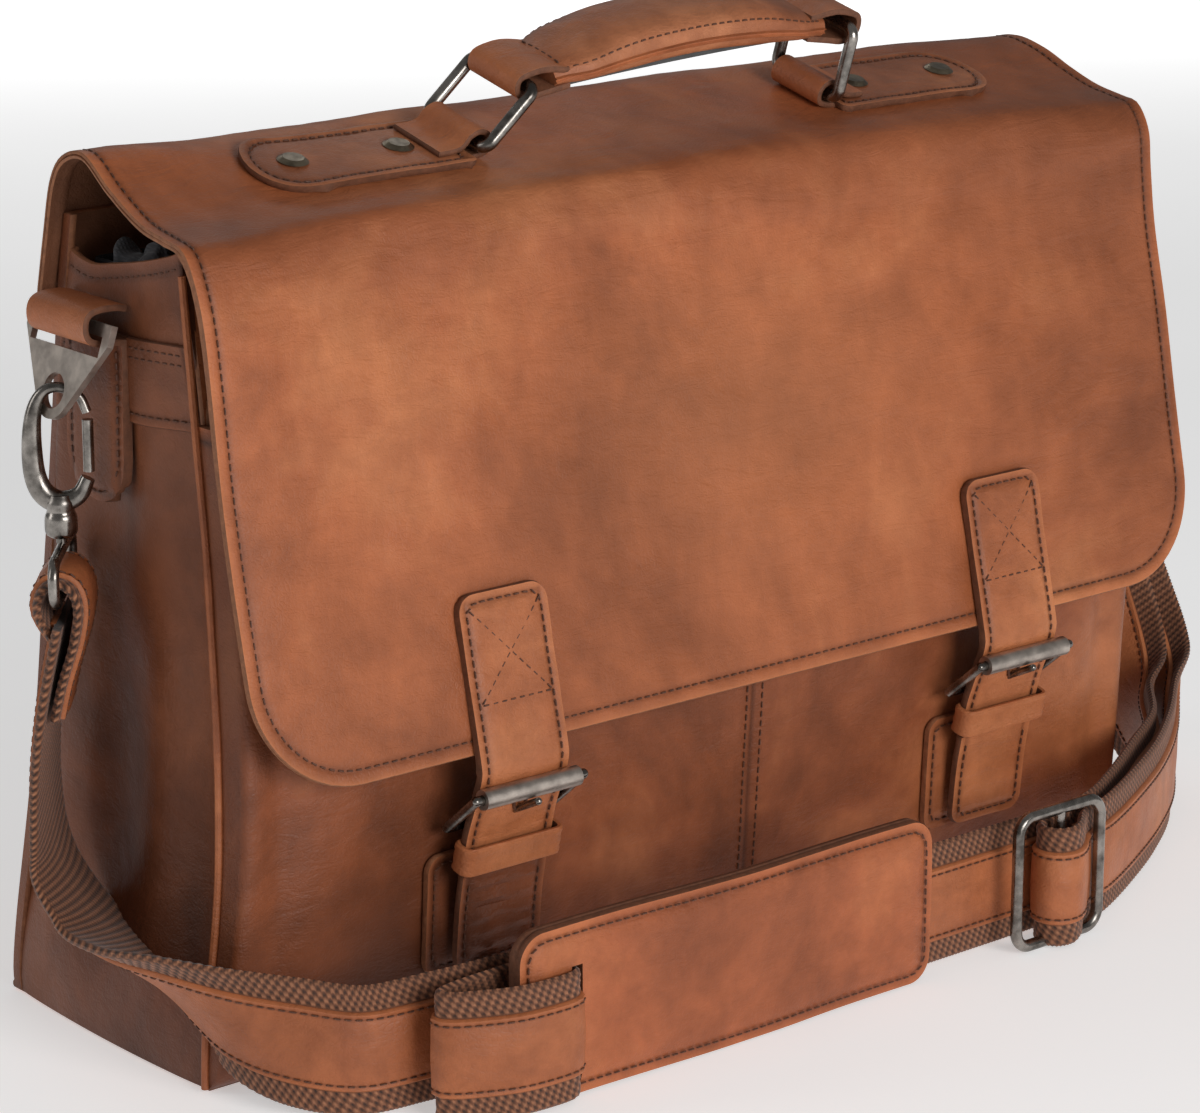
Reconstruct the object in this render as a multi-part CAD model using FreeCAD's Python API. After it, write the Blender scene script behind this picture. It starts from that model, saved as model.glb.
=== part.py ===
"""Leather briefcase with a full front flap, a carrying handle and a detachable shoulder strap.

Millimetres. X runs left to right as seen from the front, the front faces -Y and +Z is up.
The origin is the centre of the base on the floor. Leather panels are sheets of constant
thickness whose side profile (Y, Z) is extruded along X.
"""
import FreeCAD
import Part
import math
import os

V = FreeCAD.Vector

# Driving dimensions of the body
BODY_HALF = 196.0            # half the outer width of the body
BASE_HALF = 56.0             # half the depth of the base
CORNER = 3.0                 # radius of the base corners
LEATHER = 2.4                # thickness of one leather panel
LINING = 0.8
CLEAR = 0.3                  # gap between pieces that must not touch
FRONT_ARC = ((-54.0, 0.0), (-58.0, 120.0), (-42.0, 254.0))
BACK_ARC = ((56.0, 0.0), (43.0, 120.0), (20.0, 260.0))
POCKET_ARC = ((-58.5, 3.0), (-72.0, 105.0), (-58.4, 205.0))
GUSSET_TOP = 248.0
DIVIDER_TOP = 215.0
REAR_SEAM = 232.0            # height at which the flap is sewn to the back

# Flap: two stiff stretches joined by two soft folds
FLAP_HALF = 200.0
FLAP = 3.2                   # outer leather with its backing
FOLD = 4.2                   # outer radius of a soft fold
REAR_FOLD = (17.5, 273.5)    # axis of the rear fold in Y and Z
FRONT_FOLD = (-46.5, 257.5)  # axis of the front fold
FLAP_END = (-87.3, 98.0)     # outer edge of the flap at the front
FLAP_CORNER = 35.0
FOLD_START = 4.7             # where a stiff stretch starts, measured from a fold's axis

# Front straps and their buckles
STRAP_X = 107.0
STRAP_HALF = 17.0
STRAP = 2.8
STRAP_TOP = 116.0            # start of the strap, measured down the flap from the front fold
STRAP_LINE = ((-91.7, 91.3), (-88.5, 82.0), (-84.2, 71.0), (-81.0, 57.5))
TAIL_LINE = ((-80.7, 56.5), (-78.5, 44.0), (-77.0, 24.0))
ROLLER = (-93.4, 85.5)
ROLLER_R = 3.2
FRAME_WIRE = 1.6
FRAME_HALF = 21.0
FRAME_BAR = (-78.9, 73.2)
PRONG_WIRE = 1.2
KEEPER_Z = (58.4, 67.6)
STUD_Z = 38.0

# Handle, in the plane of the flap's top
ANCHOR_X = (74.0, 152.0)
ANCHOR_HALF = 17.0
RING_WIRE = 2.1
RING_HALF = 15.5
RING_HEIGHT = 24.0
RING_CORNER = 3.2
LOOP_HALF = 11.8             # half width of a leather loop round a handle ring
RING_LEAN = (42.0, 4.0)      # degrees to the right at rest, left ring then right ring
RING_AXIS_UP = 4.8
RIVET_X = (96.0, 136.0)
GRIP_HALF = 15.0
GRIP_RISE = 3.5
GRIP_THICK = 15.0

# Strap hardware on each side
TAB_HALF = 17.0
TAB_FOOT = 175.0
BAR = (206.0, 229.5)         # distance from the middle and height of the strap ring's bar
RING_TILT = 18.0             # the strap ring leans outwards at rest
PLATE = 2.2
HOLE_DROP = 21.5
HOLE_R = 5.5
HOOK_R = 9.0
HOOK_LIFT = 1.2              # top of the hook's wire above the middle of the ring's hole
HOOK_WIRE = 2.0
HOOK_SIDE = 18.5
HOOK_TURN = -40.0            # the hook's plane, turned from X about Z
SWIVEL_BAR_DROP = 61.5       # from the ring's hole down to the bar that holds the strap
SWIVEL_HALF = 21.0

# Shoulder strap
WEB_HALF = 20.0
WEB = 2.6
PAD_X = (-141.0, 29.0)
PAD_Y = (-130.5, -124.5)
PAD_TOP = 55.0
PAD_SLOT = -120.0


def save(name, shape):
    """Writes one node and says what it is."""
    shape.exportStep("parts/%s.step" % name)
    solids = len(shape.Solids)
    print("%-22s solids %d volume %.1f valid %s" % (name, solids, shape.Volume, shape.isValid()))
    NODES[name] = shape


def yz(point, x=0.0):
    return V(x, point[0], point[1])


def unit(vector):
    return vector * (1.0 / vector.Length)


def extrude_x(wire, x0, x1):
    return Part.Face(wire).extrude(V(x1 - x0, 0, 0))


def arc_edge(arc, shift, x):
    """Three-point arc in Y and Z, moved by shift along Y."""
    first, middle, last = [V(x, y + shift, z) for y, z in arc]
    return Part.Arc(first, middle, last).toShape()


def arc_prism(arc_a, shift_a, arc_b, shift_b, x0, x1):
    """Solid between two arcs, closed by straight lines at their ends."""
    a = arc_edge(arc_a, shift_a, x0)
    b = arc_edge(arc_b, shift_b, x0)
    ends_a = [v.Point for v in a.Vertexes]
    ends_b = [v.Point for v in b.Vertexes]
    foot = Part.LineSegment(ends_b[0], ends_a[0]).toShape()
    head = Part.LineSegment(ends_a[1], ends_b[1]).toShape()
    return extrude_x(Part.Wire([foot, a, head, b]), x0, x1)


def arc_y(arc, z):
    """Y of a three-point arc at height z."""
    circle = arc_edge(arc, 0, 0).Curve.Center
    radius = (yz(arc[1]) - circle).Length
    sign = 1 if arc[1][0] > circle.y else -1
    return circle.y + sign * math.sqrt(radius ** 2 - (z - circle.z) ** 2)


def box(x0, x1, y0, y1, z0, z1):
    return Part.makeBox(x1 - x0, y1 - y0, z1 - z0, V(x0, y0, z0))


def ribbon(line, thickness, x0, x1):
    """Sheet whose outer side follows a line in Y and Z; its thickness lies towards +Y."""
    points = [yz(p, x0) for p in line]
    normals = []
    for i in range(len(points)):
        before = points[max(i - 1, 0)]
        after = points[min(i + 1, len(points) - 1)]
        along = unit(after - before)
        normals.append(V(0, -along.z, along.y))
    inner = [p + n * thickness for p, n in zip(points, normals)]
    return extrude_x(Part.makePolygon(points + inner[::-1] + [points[0]]), x0, x1)


def rod(a, b, radius):
    return Part.makeCylinder(radius, (b - a).Length, a, b - a)


def x_rod(point, radius, x0, x1):
    return rod(yz(point, x0), yz(point, x1), radius)


def wire_pipe(edges, radius):
    """Round wire that follows tangent lines and arcs."""
    path = Part.Wire(edges)
    start = path.Edges[0]
    ring = Part.Wire(Part.makeCircle(radius, start.valueAt(start.FirstParameter), start.tangentAt(start.FirstParameter)))
    return path.makePipeShell([ring], True, True)


def rounded_loop(half_width, height, corner):
    """Closed rounded rectangle in the Y-Z plane, standing on z = 0."""
    w, h, r = half_width, height, corner
    k = r * (1 - math.sqrt(0.5))
    corners = [((-w, r), (-w + k, k), (-w + r, 0)), ((w - r, 0), (w - k, k), (w, r)),
               ((w, h - r), (w - k, h - k), (w - r, h)), ((-w + r, h), (-w + k, h - k), (-w, h - r))]
    edges = []
    for i, (a, m, b) in enumerate(corners):
        edges.append(Part.Arc(yz(a), yz(m), yz(b)).toShape())
        after = corners[(i + 1) % len(corners)][0]
        edges.append(Part.LineSegment(yz(b), yz(after)).toShape())
    return edges


def rounded_plate(x0, x1, y0, y1, thickness, radii):
    """Plate in the X-Y plane; radii are for the corners (x0,y0), (x1,y0), (x1,y1), (x0,y1)."""
    corners = [V(x0, y0, 0), V(x1, y0, 0), V(x1, y1, 0), V(x0, y1, 0)]
    edges = []
    last = None
    first = None
    for i in range(4):
        here = corners[i]
        back = unit(corners[i - 1] - here)
        ahead = unit(corners[(i + 1) % 4] - here)
        r = radii[i]
        start = here + back * r
        end = here + ahead * r
        if last is not None and (start - last).Length > 1e-6:
            edges.append(Part.LineSegment(last, start).toShape())
        if r > 0:
            middle = here + (back + ahead) * (r * (1 - math.sqrt(0.5)))
            edges.append(Part.Arc(start, middle, end).toShape())
        first = start if first is None else first
        last = end
    if (first - last).Length > 1e-6:
        edges.append(Part.LineSegment(last, first).toShape())
    return Part.Face(Part.Wire(edges)).extrude(V(0, 0, thickness))


def placed(shape, origin, angle):
    """Copy turned about X by angle in degrees and moved to origin."""
    copy = shape.copy()
    copy.Placement = FreeCAD.Placement(origin, FreeCAD.Rotation(V(1, 0, 0), angle)).multiply(copy.Placement)
    return copy


def mirrored(shape):
    return shape.mirror(V(0, 0, 0), V(1, 0, 0))


# Frames of the two stiff stretches of the flap
TOP_ANGLE = math.degrees(math.atan2(REAR_FOLD[1] - FRONT_FOLD[1], REAR_FOLD[0] - FRONT_FOLD[0]))
TOP_LENGTH = math.hypot(REAR_FOLD[0] - FRONT_FOLD[0], REAR_FOLD[1] - FRONT_FOLD[1])
TOP_UP = V(0, -math.sin(math.radians(TOP_ANGLE)), math.cos(math.radians(TOP_ANGLE)))
TOP_ORIGIN = (yz(REAR_FOLD) + yz(FRONT_FOLD)) * 0.5 + TOP_UP * FOLD


def front_frame():
    """Origin and angle of the flap's front: its outer side is tangent to the front fold."""
    run = yz(FLAP_END) - yz(FRONT_FOLD)
    angle = math.atan2(run.z, run.y) + math.asin(FOLD / run.Length)
    out = V(0, math.sin(angle), -math.cos(angle))
    length = math.sqrt(run.Length ** 2 - FOLD ** 2)
    return yz(FRONT_FOLD) + out * FOLD, math.degrees(angle), length


FRONT_ORIGIN, FRONT_ANGLE, FRONT_LENGTH = front_frame()


def on_top(shape):
    return placed(shape, TOP_ORIGIN, TOP_ANGLE)


def on_front(shape):
    return placed(shape, FRONT_ORIGIN, FRONT_ANGLE)


def body_panels():
    """Main compartment: base, front, back, two gussets, lining and laptop divider."""
    base = rounded_plate(-BODY_HALF, BODY_HALF, -BASE_HALF, BASE_HALF, LEATHER, [CORNER] * 4)
    save("base_panel", base)
    above = box(-300, 300, -200, 200, LEATHER, 400)
    front = arc_prism(FRONT_ARC, 0, FRONT_ARC, LEATHER, -BODY_HALF, BODY_HALF).common(above)
    back = arc_prism(BACK_ARC, -LEATHER, BACK_ARC, 0, -BODY_HALF, BODY_HALF).common(above)
    save("front_panel", front)
    save("back_panel", back)
    side = arc_prism(FRONT_ARC, LEATHER, BACK_ARC, -LEATHER, -BODY_HALF, -BODY_HALF + LEATHER)
    side = side.common(box(-300, 300, -200, 200, LEATHER, GUSSET_TOP))
    save("gusset_left", side)
    save("gusset_right", mirrored(side))
    inside = BODY_HALF - LEATHER
    wall = LEATHER + LINING
    tub = arc_prism(FRONT_ARC, LEATHER, BACK_ARC, -LEATHER, -inside, inside)
    tub = tub.common(box(-300, 300, -200, 200, LEATHER, GUSSET_TOP - 4))
    room = arc_prism(FRONT_ARC, wall, BACK_ARC, -wall, -inside + LINING, inside - LINING)
    room = room.common(box(-300, 300, -200, 200, wall, 400))
    save("main_lining", tub.cut(room))
    save("base_board", box(-inside + 4, inside - 4, -44, 44, wall, wall + 2))
    save("laptop_divider", box(-inside + 4, inside - 4, 13, 17, wall + 2, DIVIDER_TOP))
    heights = (REAR_SEAM, (REAR_SEAM + BACK_ARC[2][1]) / 2, BACK_ARC[2][1] - 2)
    line = [(arc_y(BACK_ARC, z) + LEATHER, z) for z in heights] + [(REAR_FOLD[0] + FOLD, REAR_FOLD[1])]
    rear = ribbon(line, LEATHER + 1, -BODY_HALF, BODY_HALF)
    rear = rear.cut(arc_prism(BACK_ARC, -20, BACK_ARC, 0, -BODY_HALF, BODY_HALF))
    fold = x_rod(REAR_FOLD, FOLD, -FLAP_HALF, FLAP_HALF)
    save("flap_rear_fold", rear.fuse(fold).removeSplitter())


def front_pocket():
    """Open-topped patch pocket on the front panel."""
    half = BODY_HALF - 0.5
    full = arc_prism(POCKET_ARC, 0, FRONT_ARC, 0, -half, half)
    full = full.common(box(-300, 300, -200, 200, LEATHER + 0.1, POCKET_ARC[2][1]))
    room = arc_prism(POCKET_ARC, LEATHER, FRONT_ARC, 1, -half + LEATHER, half - LEATHER)
    room = room.common(box(-300, 300, -200, 200, 8, 400))
    front = arc_prism(FRONT_ARC, 0, FRONT_ARC, 20, -300, 300)
    save("front_pocket", full.cut(room).cut(front))


def piping(sign):
    """Corded seam down the front edge of a gusset."""
    x = sign * (BODY_HALF + 2.4)
    edge = arc_edge(FRONT_ARC, 3.0, x)
    start = edge.valueAt(edge.FirstParameter)
    ring = Part.Wire(Part.makeCircle(2.0, start, edge.tangentAt(edge.FirstParameter)))
    tube = Part.Wire([edge]).makePipeShell([ring], True, True)
    return tube.common(box(-300, 300, -200, 200, LEATHER + 0.2, 250))


def side_pieces():
    """Gusset band and the leather tab that holds the strap ring, left side."""
    x = -BODY_HALF
    tab = box(x - 2.0, x, -TAB_HALF, TAB_HALF, TAB_FOOT + TAB_HALF, 226.5)
    tip = Part.makeCylinder(TAB_HALF, 2.0, V(x - 2.0, 0, TAB_FOOT + TAB_HALF), V(1, 0, 0))
    loop = box(-BAR[0] - 8.0, x, -TAB_HALF, TAB_HALF, BAR[1] - 5.2, BAR[1] + 8.5)
    long_edges = [e for e in loop.Edges if abs(e.tangentAt(0).y) > 0.9 and e.CenterOfMass.x < x - 1]
    loop = loop.makeFillet(6.0, long_edges)
    room = box(-BAR[0] - 5.8, x - 2.0, -TAB_HALF - 1, TAB_HALF + 1, BAR[1] - 3.0, BAR[1] + 6.3)
    room_edges = [e for e in room.Edges if abs(e.tangentAt(0).y) > 0.9]
    loop = loop.cut(room.makeFillet(3.9, room_edges))
    tab = tab.fuse([tip, loop]).removeSplitter()
    band = arc_prism(FRONT_ARC, 6.0, BACK_ARC, -1.0, x - 3.6, x)
    band = band.common(box(-300, 300, -200, 200, 198, 222))
    hollow = box(x - 2.3, x + 1, -TAB_HALF - CLEAR, TAB_HALF + CLEAR, 190, 230)
    return {"ring_tab": tab, "side_band": band.cut(hollow)}


def strap_ring():
    """Flat triangular ring with a slot for the tab and a round hole for the hook, left side."""
    half = 22.0
    bar = 2.0
    nose = 8.6
    drop = V(0, 0, -HOLE_DROP)
    centre = V(-PLATE / 2, 0, 0)
    top = box(-PLATE / 2, PLATE / 2, -half, half, -4.5, bar)
    foot = -HOLE_DROP - 3.7
    outline = [V(0, -half, -4.5), V(0, half, -4.5), V(0, nose * 0.93, foot), V(0, -nose * 0.93, foot)]
    body = Part.Face(Part.makePolygon([p + centre for p in outline + outline[:1]])).extrude(V(PLATE, 0, 0))
    tip = Part.makeCylinder(nose, PLATE, centre + drop, V(1, 0, 0))
    slot = box(-5, 5, -TAB_HALF - 1.5, TAB_HALF + 1.5, -8.3, -bar)
    hole = Part.makeCylinder(HOLE_R, 10, V(-5, 0, -HOLE_DROP), V(1, 0, 0))
    plate = top.fuse([body, tip]).removeSplitter().cut(slot).cut(hole)
    plate.rotate(V(0, 0, 0), V(0, 1, 0), RING_TILT)
    plate.translate(V(-BAR[0], 0, BAR[1]))
    return plate


def hook_origin():
    """Centre of the left strap ring's hole."""
    tilt = math.radians(RING_TILT)
    return V(-BAR[0] - HOLE_DROP * math.sin(tilt), 0, BAR[1] - HOLE_DROP * math.cos(tilt))


def hook_pieces():
    """Snap hook, its gate and its swivel, left side, drawn in X and Z with the hole at the origin."""
    r = HOOK_R
    c = V(0, 0, -r)
    low = V(0, 0, -r - HOOK_SIDE)
    start = V(r * math.cos(0.15), 0, -r + r * math.sin(0.15))
    top = Part.Arc(start, V(0, 0, 0), c + V(-r, 0, 0)).toShape()
    side = Part.LineSegment(c + V(-r, 0, 0), low + V(-r, 0, 0)).toShape()
    foot = Part.Arc(low + V(-r, 0, 0), low + V(0, 0, -r), low + V(r * math.cos(0.1), 0, -r * math.sin(0.1))).toShape()
    wire = wire_pipe([top, side, foot], HOOK_WIRE)
    hub_top = -2 * r - HOOK_SIDE + 1.0
    hub = Part.makeCone(3.2, 5.0, 6, V(0, 0, hub_top), V(0, 0, -1))
    hub = hub.fuse(Part.makeCylinder(5.0, 4.5, V(0, 0, hub_top - 10.5)))
    cavity = Part.makeCylinder(3.2, 3.4, V(0, 0, hub_top - 8.4))
    bore = Part.makeCylinder(1.75, 5, V(0, 0, hub_top - 12))
    body = wire.fuse(hub).removeSplitter().cut(cavity).cut(bore)
    gate_foot = low + V(r, 0, 1.6)
    gate = rod(gate_foot, c + V(r, 0, -0.9), 1.7)
    stem = Part.makeCylinder(1.65, 4.6, V(0, 0, hub_top - 12.7))
    head = Part.makeCylinder(2.9, 2.6, V(0, 0, hub_top - 8.1))
    loop = wire_pipe(rounded_loop(SWIVEL_HALF, 13.0, 5.0), 1.7)
    loop.translate(V(0, 0, -SWIVEL_BAR_DROP - HOOK_LIFT))
    swivel = loop.fuse([stem, head]).removeSplitter()
    placed_pieces = {"hook_body": body, "hook_gate": gate, "hook_swivel": swivel}
    for piece in placed_pieces.values():
        piece.rotate(V(0, 0, 0), V(0, 0, 1), HOOK_TURN)
        piece.translate(hook_origin() + V(0, 0, HOOK_LIFT))
    return placed_pieces


def handle_rings():
    """Two rectangular rings, each leaning about its lower bar."""
    centres = []
    for side, sign, lean in (("left", -1, RING_LEAN[0]), ("right", 1, RING_LEAN[1])):
        ring = wire_pipe(rounded_loop(RING_HALF, RING_HEIGHT, RING_CORNER), RING_WIRE)
        ring.rotate(V(0, 0, 0), V(0, 1, 0), lean)
        ring.translate(V(sign * ANCHOR_X[0], 0, RING_AXIS_UP))
        save("handle_ring_" + side, on_top(ring))
        angle = math.radians(lean)
        x = sign * ANCHOR_X[0] + RING_HEIGHT * math.sin(angle)
        centres.append((x, RING_AXIS_UP + RING_HEIGHT * math.cos(angle)))
    return centres


def y_tube(x, z, outer, inner, half):
    tube = Part.makeCylinder(outer, 2 * half, V(x, -half, z), V(0, 1, 0))
    return tube.cut(Part.makeCylinder(inner, 2 * half, V(x, -half, z), V(0, 1, 0)))


def handle_anchors():
    """Riveted leather straps on the flap's top, each folded round a ring's lower bar."""
    inner, outer = ANCHOR_X
    strap = rounded_plate(-outer, -inner, -ANCHOR_HALF, ANCHOR_HALF, 2.6, [ANCHOR_HALF - 0.2, 0, 0, ANCHOR_HALF - 0.2])
    slot = Part.makeCylinder(2.6, 60, V(-inner, -30, RING_AXIS_UP), V(0, 1, 0))
    arm = box(-inner - 4.5, -inner + 4.5, LOOP_HALF + 0.4, 30, -1, 10)
    other_arm = box(-inner - 4.5, -inner + 4.5, -30, -LOOP_HALF - 0.4, -1, 10)
    arms = other_arm.fuse(arm)
    loop = y_tube(-inner, RING_AXIS_UP, 4.8, 2.6, LOOP_HALF)
    anchor = strap.cut(slot).cut(arms).fuse(loop).removeSplitter()
    rivets = []
    for x in RIVET_X:
        hole = Part.makeCylinder(2.0, 10, V(-x, 0, -5))
        anchor = anchor.cut(hole)
        shank = Part.makeCylinder(2.0, 2.6, V(-x, 0, 0))
        cap = Part.makeCone(5.0, 3.4, 1.2, V(-x, 0, 2.6))
        rivets.append(shank.fuse(cap))
    save("handle_anchor_left", on_top(anchor))
    save("handle_anchor_right", on_top(mirrored(anchor)))
    both = [on_top(r) for r in rivets] + [on_top(mirrored(r)) for r in rivets]
    save("handle_rivets", Part.makeCompound(both))


def handle_grip(centres):
    """Padded arch with a firm core and a leather loop at each end."""
    (xl, zl), (xr, zr) = centres
    middle = (xl + xr) / 2
    height = (zl + zr) / 2 + GRIP_RISE

    def lens(inset, end_half, mid_half, half_width):
        a, b = xl + inset, xr - inset
        top = Part.Arc(V(a, 0, zl + end_half), V(middle, 0, height + mid_half), V(b, 0, zr + end_half)).toShape()
        low = Part.Arc(V(b, 0, zr - end_half), V(middle, 0, height - mid_half), V(a, 0, zl - end_half)).toShape()
        right = Part.LineSegment(V(b, 0, zr + end_half), V(b, 0, zr - end_half)).toShape()
        left = Part.LineSegment(V(a, 0, zl - end_half), V(a, 0, zl + end_half)).toShape()
        face = Part.Face(Part.Wire([top, right, low, left]))
        solid = face.extrude(V(0, 2 * half_width, 0))
        solid.translate(V(0, -half_width, 0))
        return solid

    core = lens(14.0, 2.0, GRIP_THICK / 2 - 3, GRIP_HALF - 3.5)
    cover = lens(7.5, 3.6, GRIP_THICK / 2, GRIP_HALF)
    long_edges = [e for e in cover.Edges if abs(e.CenterOfMass.y) > GRIP_HALF - 0.1 and e.Length > 60]
    cover = cover.makeFillet(2.5, long_edges).cut(core)
    loops = [y_tube(xl, zl, 5.0, 2.7, LOOP_HALF), y_tube(xr, zr, 6.0, 3.6, LOOP_HALF)]
    necks = [box(xl + 4.0, xl + 7.5, -LOOP_HALF, LOOP_HALF, zl - 2.4, zl + 2.4),
             box(xr - 7.5, xr - 5.0, -LOOP_HALF, LOOP_HALF, zr - 2.4, zr + 2.4)]
    grip = cover.fuse(loops + necks).removeSplitter()
    save("handle_grip", on_top(grip))
    save("handle_core", on_top(core))


def flap():
    """Stiff stretches of the flap and the soft fold between them."""
    half_top = TOP_LENGTH / 2
    top = rounded_plate(-FLAP_HALF, FLAP_HALF, -half_top + FOLD * 0.5, half_top - FOLD_START, FLAP, [0, 0, 0, 0])
    top.translate(V(0, 0, -FLAP))
    fold = x_rod(FRONT_FOLD, FOLD, -FLAP_HALF, FLAP_HALF)
    save("flap_front_fold", fold)
    save("flap_top", on_top(top).cut(fold))
    corner = FLAP_CORNER
    front = rounded_plate(-FLAP_HALF, FLAP_HALF, FOLD_START, FRONT_LENGTH, FLAP, [0, 0, corner, corner])
    save("flap_front", on_front(front))


def front_strap(sign):
    """Strap sewn on the flap: it runs over the flap's edge and through the buckle."""
    x0 = sign * STRAP_X - STRAP_HALF
    x1 = sign * STRAP_X + STRAP_HALF
    out = V(0, math.sin(math.radians(FRONT_ANGLE)), -math.cos(math.radians(FRONT_ANGLE)))
    down = V(0, math.cos(math.radians(FRONT_ANGLE)), math.sin(math.radians(FRONT_ANGLE)))
    head = FRONT_ORIGIN + down * STRAP_TOP + out * STRAP
    line = [(head.y, head.z)] + list(STRAP_LINE)
    strap = ribbon(line, STRAP, x0, x1)
    hole = box(sign * STRAP_X - 2.6, sign * STRAP_X + 2.6, -100, -70, 72.5, 80.5)
    behind = rounded_plate(-FLAP_HALF, FLAP_HALF, FOLD_START, FRONT_LENGTH, FLAP, [0, 0, 0, 0])
    return strap.cut(hole).cut(on_front(behind))


def buckle(sign):
    """Buckle frame, roller and prong."""
    centre = sign * STRAP_X
    x0, x1 = centre - FRAME_HALF, centre + FRAME_HALF
    frame = x_rod(ROLLER, FRAME_WIRE, x0, x1).fuse(x_rod(FRAME_BAR, FRAME_WIRE, x0, x1))
    for x in (x0, x1):
        ends = [Part.makeSphere(FRAME_WIRE, yz(p, x)) for p in (ROLLER, FRAME_BAR)]
        frame = frame.fuse([rod(yz(ROLLER, x), yz(FRAME_BAR, x), FRAME_WIRE)] + ends)
    frame = frame.removeSplitter()
    length = FRAME_HALF - FRAME_WIRE - 0.8
    roller = x_rod(ROLLER, ROLLER_R, centre - length, centre + length)
    roller = roller.cut(x_rod(ROLLER, FRAME_WIRE + 0.08, centre - length, centre + length))
    bar = yz(FRAME_BAR, centre)
    run = yz(ROLLER, centre) - bar
    lift = math.asin((ROLLER_R + PRONG_WIRE + CLEAR) / run.Length)
    angle = math.atan2(run.z, run.y) + lift
    tip = bar + V(0, math.cos(angle), math.sin(angle)) * (run.Length + 1.5)
    eye = x_rod(FRAME_BAR, FRAME_WIRE + 1.1, centre - 2, centre + 2)
    prong = rod(bar, tip, PRONG_WIRE).fuse([eye, Part.makeSphere(PRONG_WIRE, tip)]).removeSplitter()
    prong = prong.cut(x_rod(FRAME_BAR, FRAME_WIRE + 0.08, centre - 3, centre + 3))
    return frame, roller, prong


def keeper(sign):
    """Leather loop round the strap below the buckle."""
    low, high = KEEPER_Z
    (y0, z0), (y1, z1) = STRAP_LINE[2], STRAP_LINE[3]
    outer = []
    for z in (high, low):
        y = y0 + (y1 - y0) * (z0 - z) / (z0 - z1)
        outer.append((y, z))
    x0, x1 = sign * STRAP_X - STRAP_HALF, sign * STRAP_X + STRAP_HALF
    gap = 0.2
    leather = 1.8
    inset = 0.03
    shell = [(y - gap - leather, z) for y, z in outer]
    full = ribbon(shell, STRAP + 2 * (gap + leather) - 0.1, x0 - gap - leather, x1 + gap + leather)
    (top_y, top_z), (foot_y, foot_z) = [(y - gap + inset, z) for y, z in outer]
    run = [(2 * top_y - foot_y, 2 * top_z - foot_z), (2 * foot_y - top_y, 2 * foot_z - top_z)]
    return full.cut(ribbon(run, STRAP + 2 * gap, x0 - gap, x1 + gap))


def tail_pieces(sign):
    """Free tail of the strap with the male half of its magnetic stud."""
    centre = sign * STRAP_X
    tail = ribbon(TAIL_LINE, STRAP - 0.2, centre - STRAP_HALF, centre + STRAP_HALF)
    inner_y = TAIL_LINE[1][0] + (TAIL_LINE[2][0] - TAIL_LINE[1][0]) * 0.3 + STRAP - 0.2
    stud = Part.makeCylinder(7.0, 2.6, V(centre, inner_y, STUD_Z), V(0, 1, 0))
    stud = stud.cut(tail)
    return tail, stud


def catch_tab(sign):
    """Leather tab on the pocket behind the tail."""
    centre = sign * STRAP_X
    leaf = arc_prism(POCKET_ARC, -2.0, POCKET_ARC, 0, centre - STRAP_HALF - 2, centre + STRAP_HALF + 2)
    return leaf.common(box(-300, 300, -200, 200, 22, 62))


def snap_socket(sign):
    """Female half of the magnetic stud, behind the catch tab."""
    centre = sign * STRAP_X
    socket = Part.makeCylinder(7.0, 12, V(centre, -70.0, STUD_Z), V(0, 1, 0))
    socket = socket.cut(arc_prism(POCKET_ARC, -2.0, POCKET_ARC, 40, centre - 30, centre + 30))
    return socket.common(box(-300, 300, -69.6, 0, 0, 100))


def band_solid(stations, thickness=WEB, half=WEB_HALF):
    """Flat strap through stations; each is a centre and the direction of the strap's width."""
    points = [V(*p) for p, w in stations]
    sections = []
    for i, (p, w) in enumerate(stations):
        along = unit(points[min(i + 1, len(points) - 1)] - points[max(i - 1, 0)])
        width = V(*w)
        width = unit(width - along * width.dot(along))
        out = unit(along.cross(width))
        a, b = width * half, out * (thickness / 2)
        c = points[i]
        sections.append(Part.makePolygon([c - a - b, c + a - b, c + a + b, c - a + b, c - a - b]))
    return Part.makeLoft(sections, True, True)


def strap_route():
    """Stations of the shoulder strap, from the left hook round the front to the right hook."""
    turn = math.radians(90 + HOOK_TURN)
    edge_on = (math.cos(turn), math.sin(turn), 0)
    up = (0, 0, 1)
    top = hook_origin() - V(0, 0, SWIVEL_BAR_DROP + 7.8)
    left = [((top.x, top.y, top.z), edge_on), ((-217, 3, 112), (0.70, 0.71, 0)), ((-217.5, 7, 84), (0.6, 0.78, 0.1)),
            ((-217, 5, 60), (0.35, 0.80, 0.5)), ((-214, -10, 44), (0.1, 0.6, 0.8)), ((-212, -32, 38), (0.0, 0.45, 0.9)),
            ((-209.5, -54, 33), (0.1, 0.3, 0.95)), ((-204, -74, 28), (0.1, 0.1, 1)), ((-194, -91, 23), up),
            ((-179, -102, 20.4), up), ((-158, -107, 20.4), up), ((-130, -109.5, 20.4), up), ((-112, -111.5, 20.4), up)]
    fold = [((-112, -115.5, 20.4), up), ((-135, -116.5, 20.4), up), ((-160, -118.5, 20.4), up)]
    front = [((-161, -124, 20.4), up), ((-151, -130, 20.4), up), ((-141, -133.4, 20.4), up), ((-124, -134.0, 20.4), up)]
    return {"strap_left": left, "strap_middle_layer": fold, "strap_front_layer": front}


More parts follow.
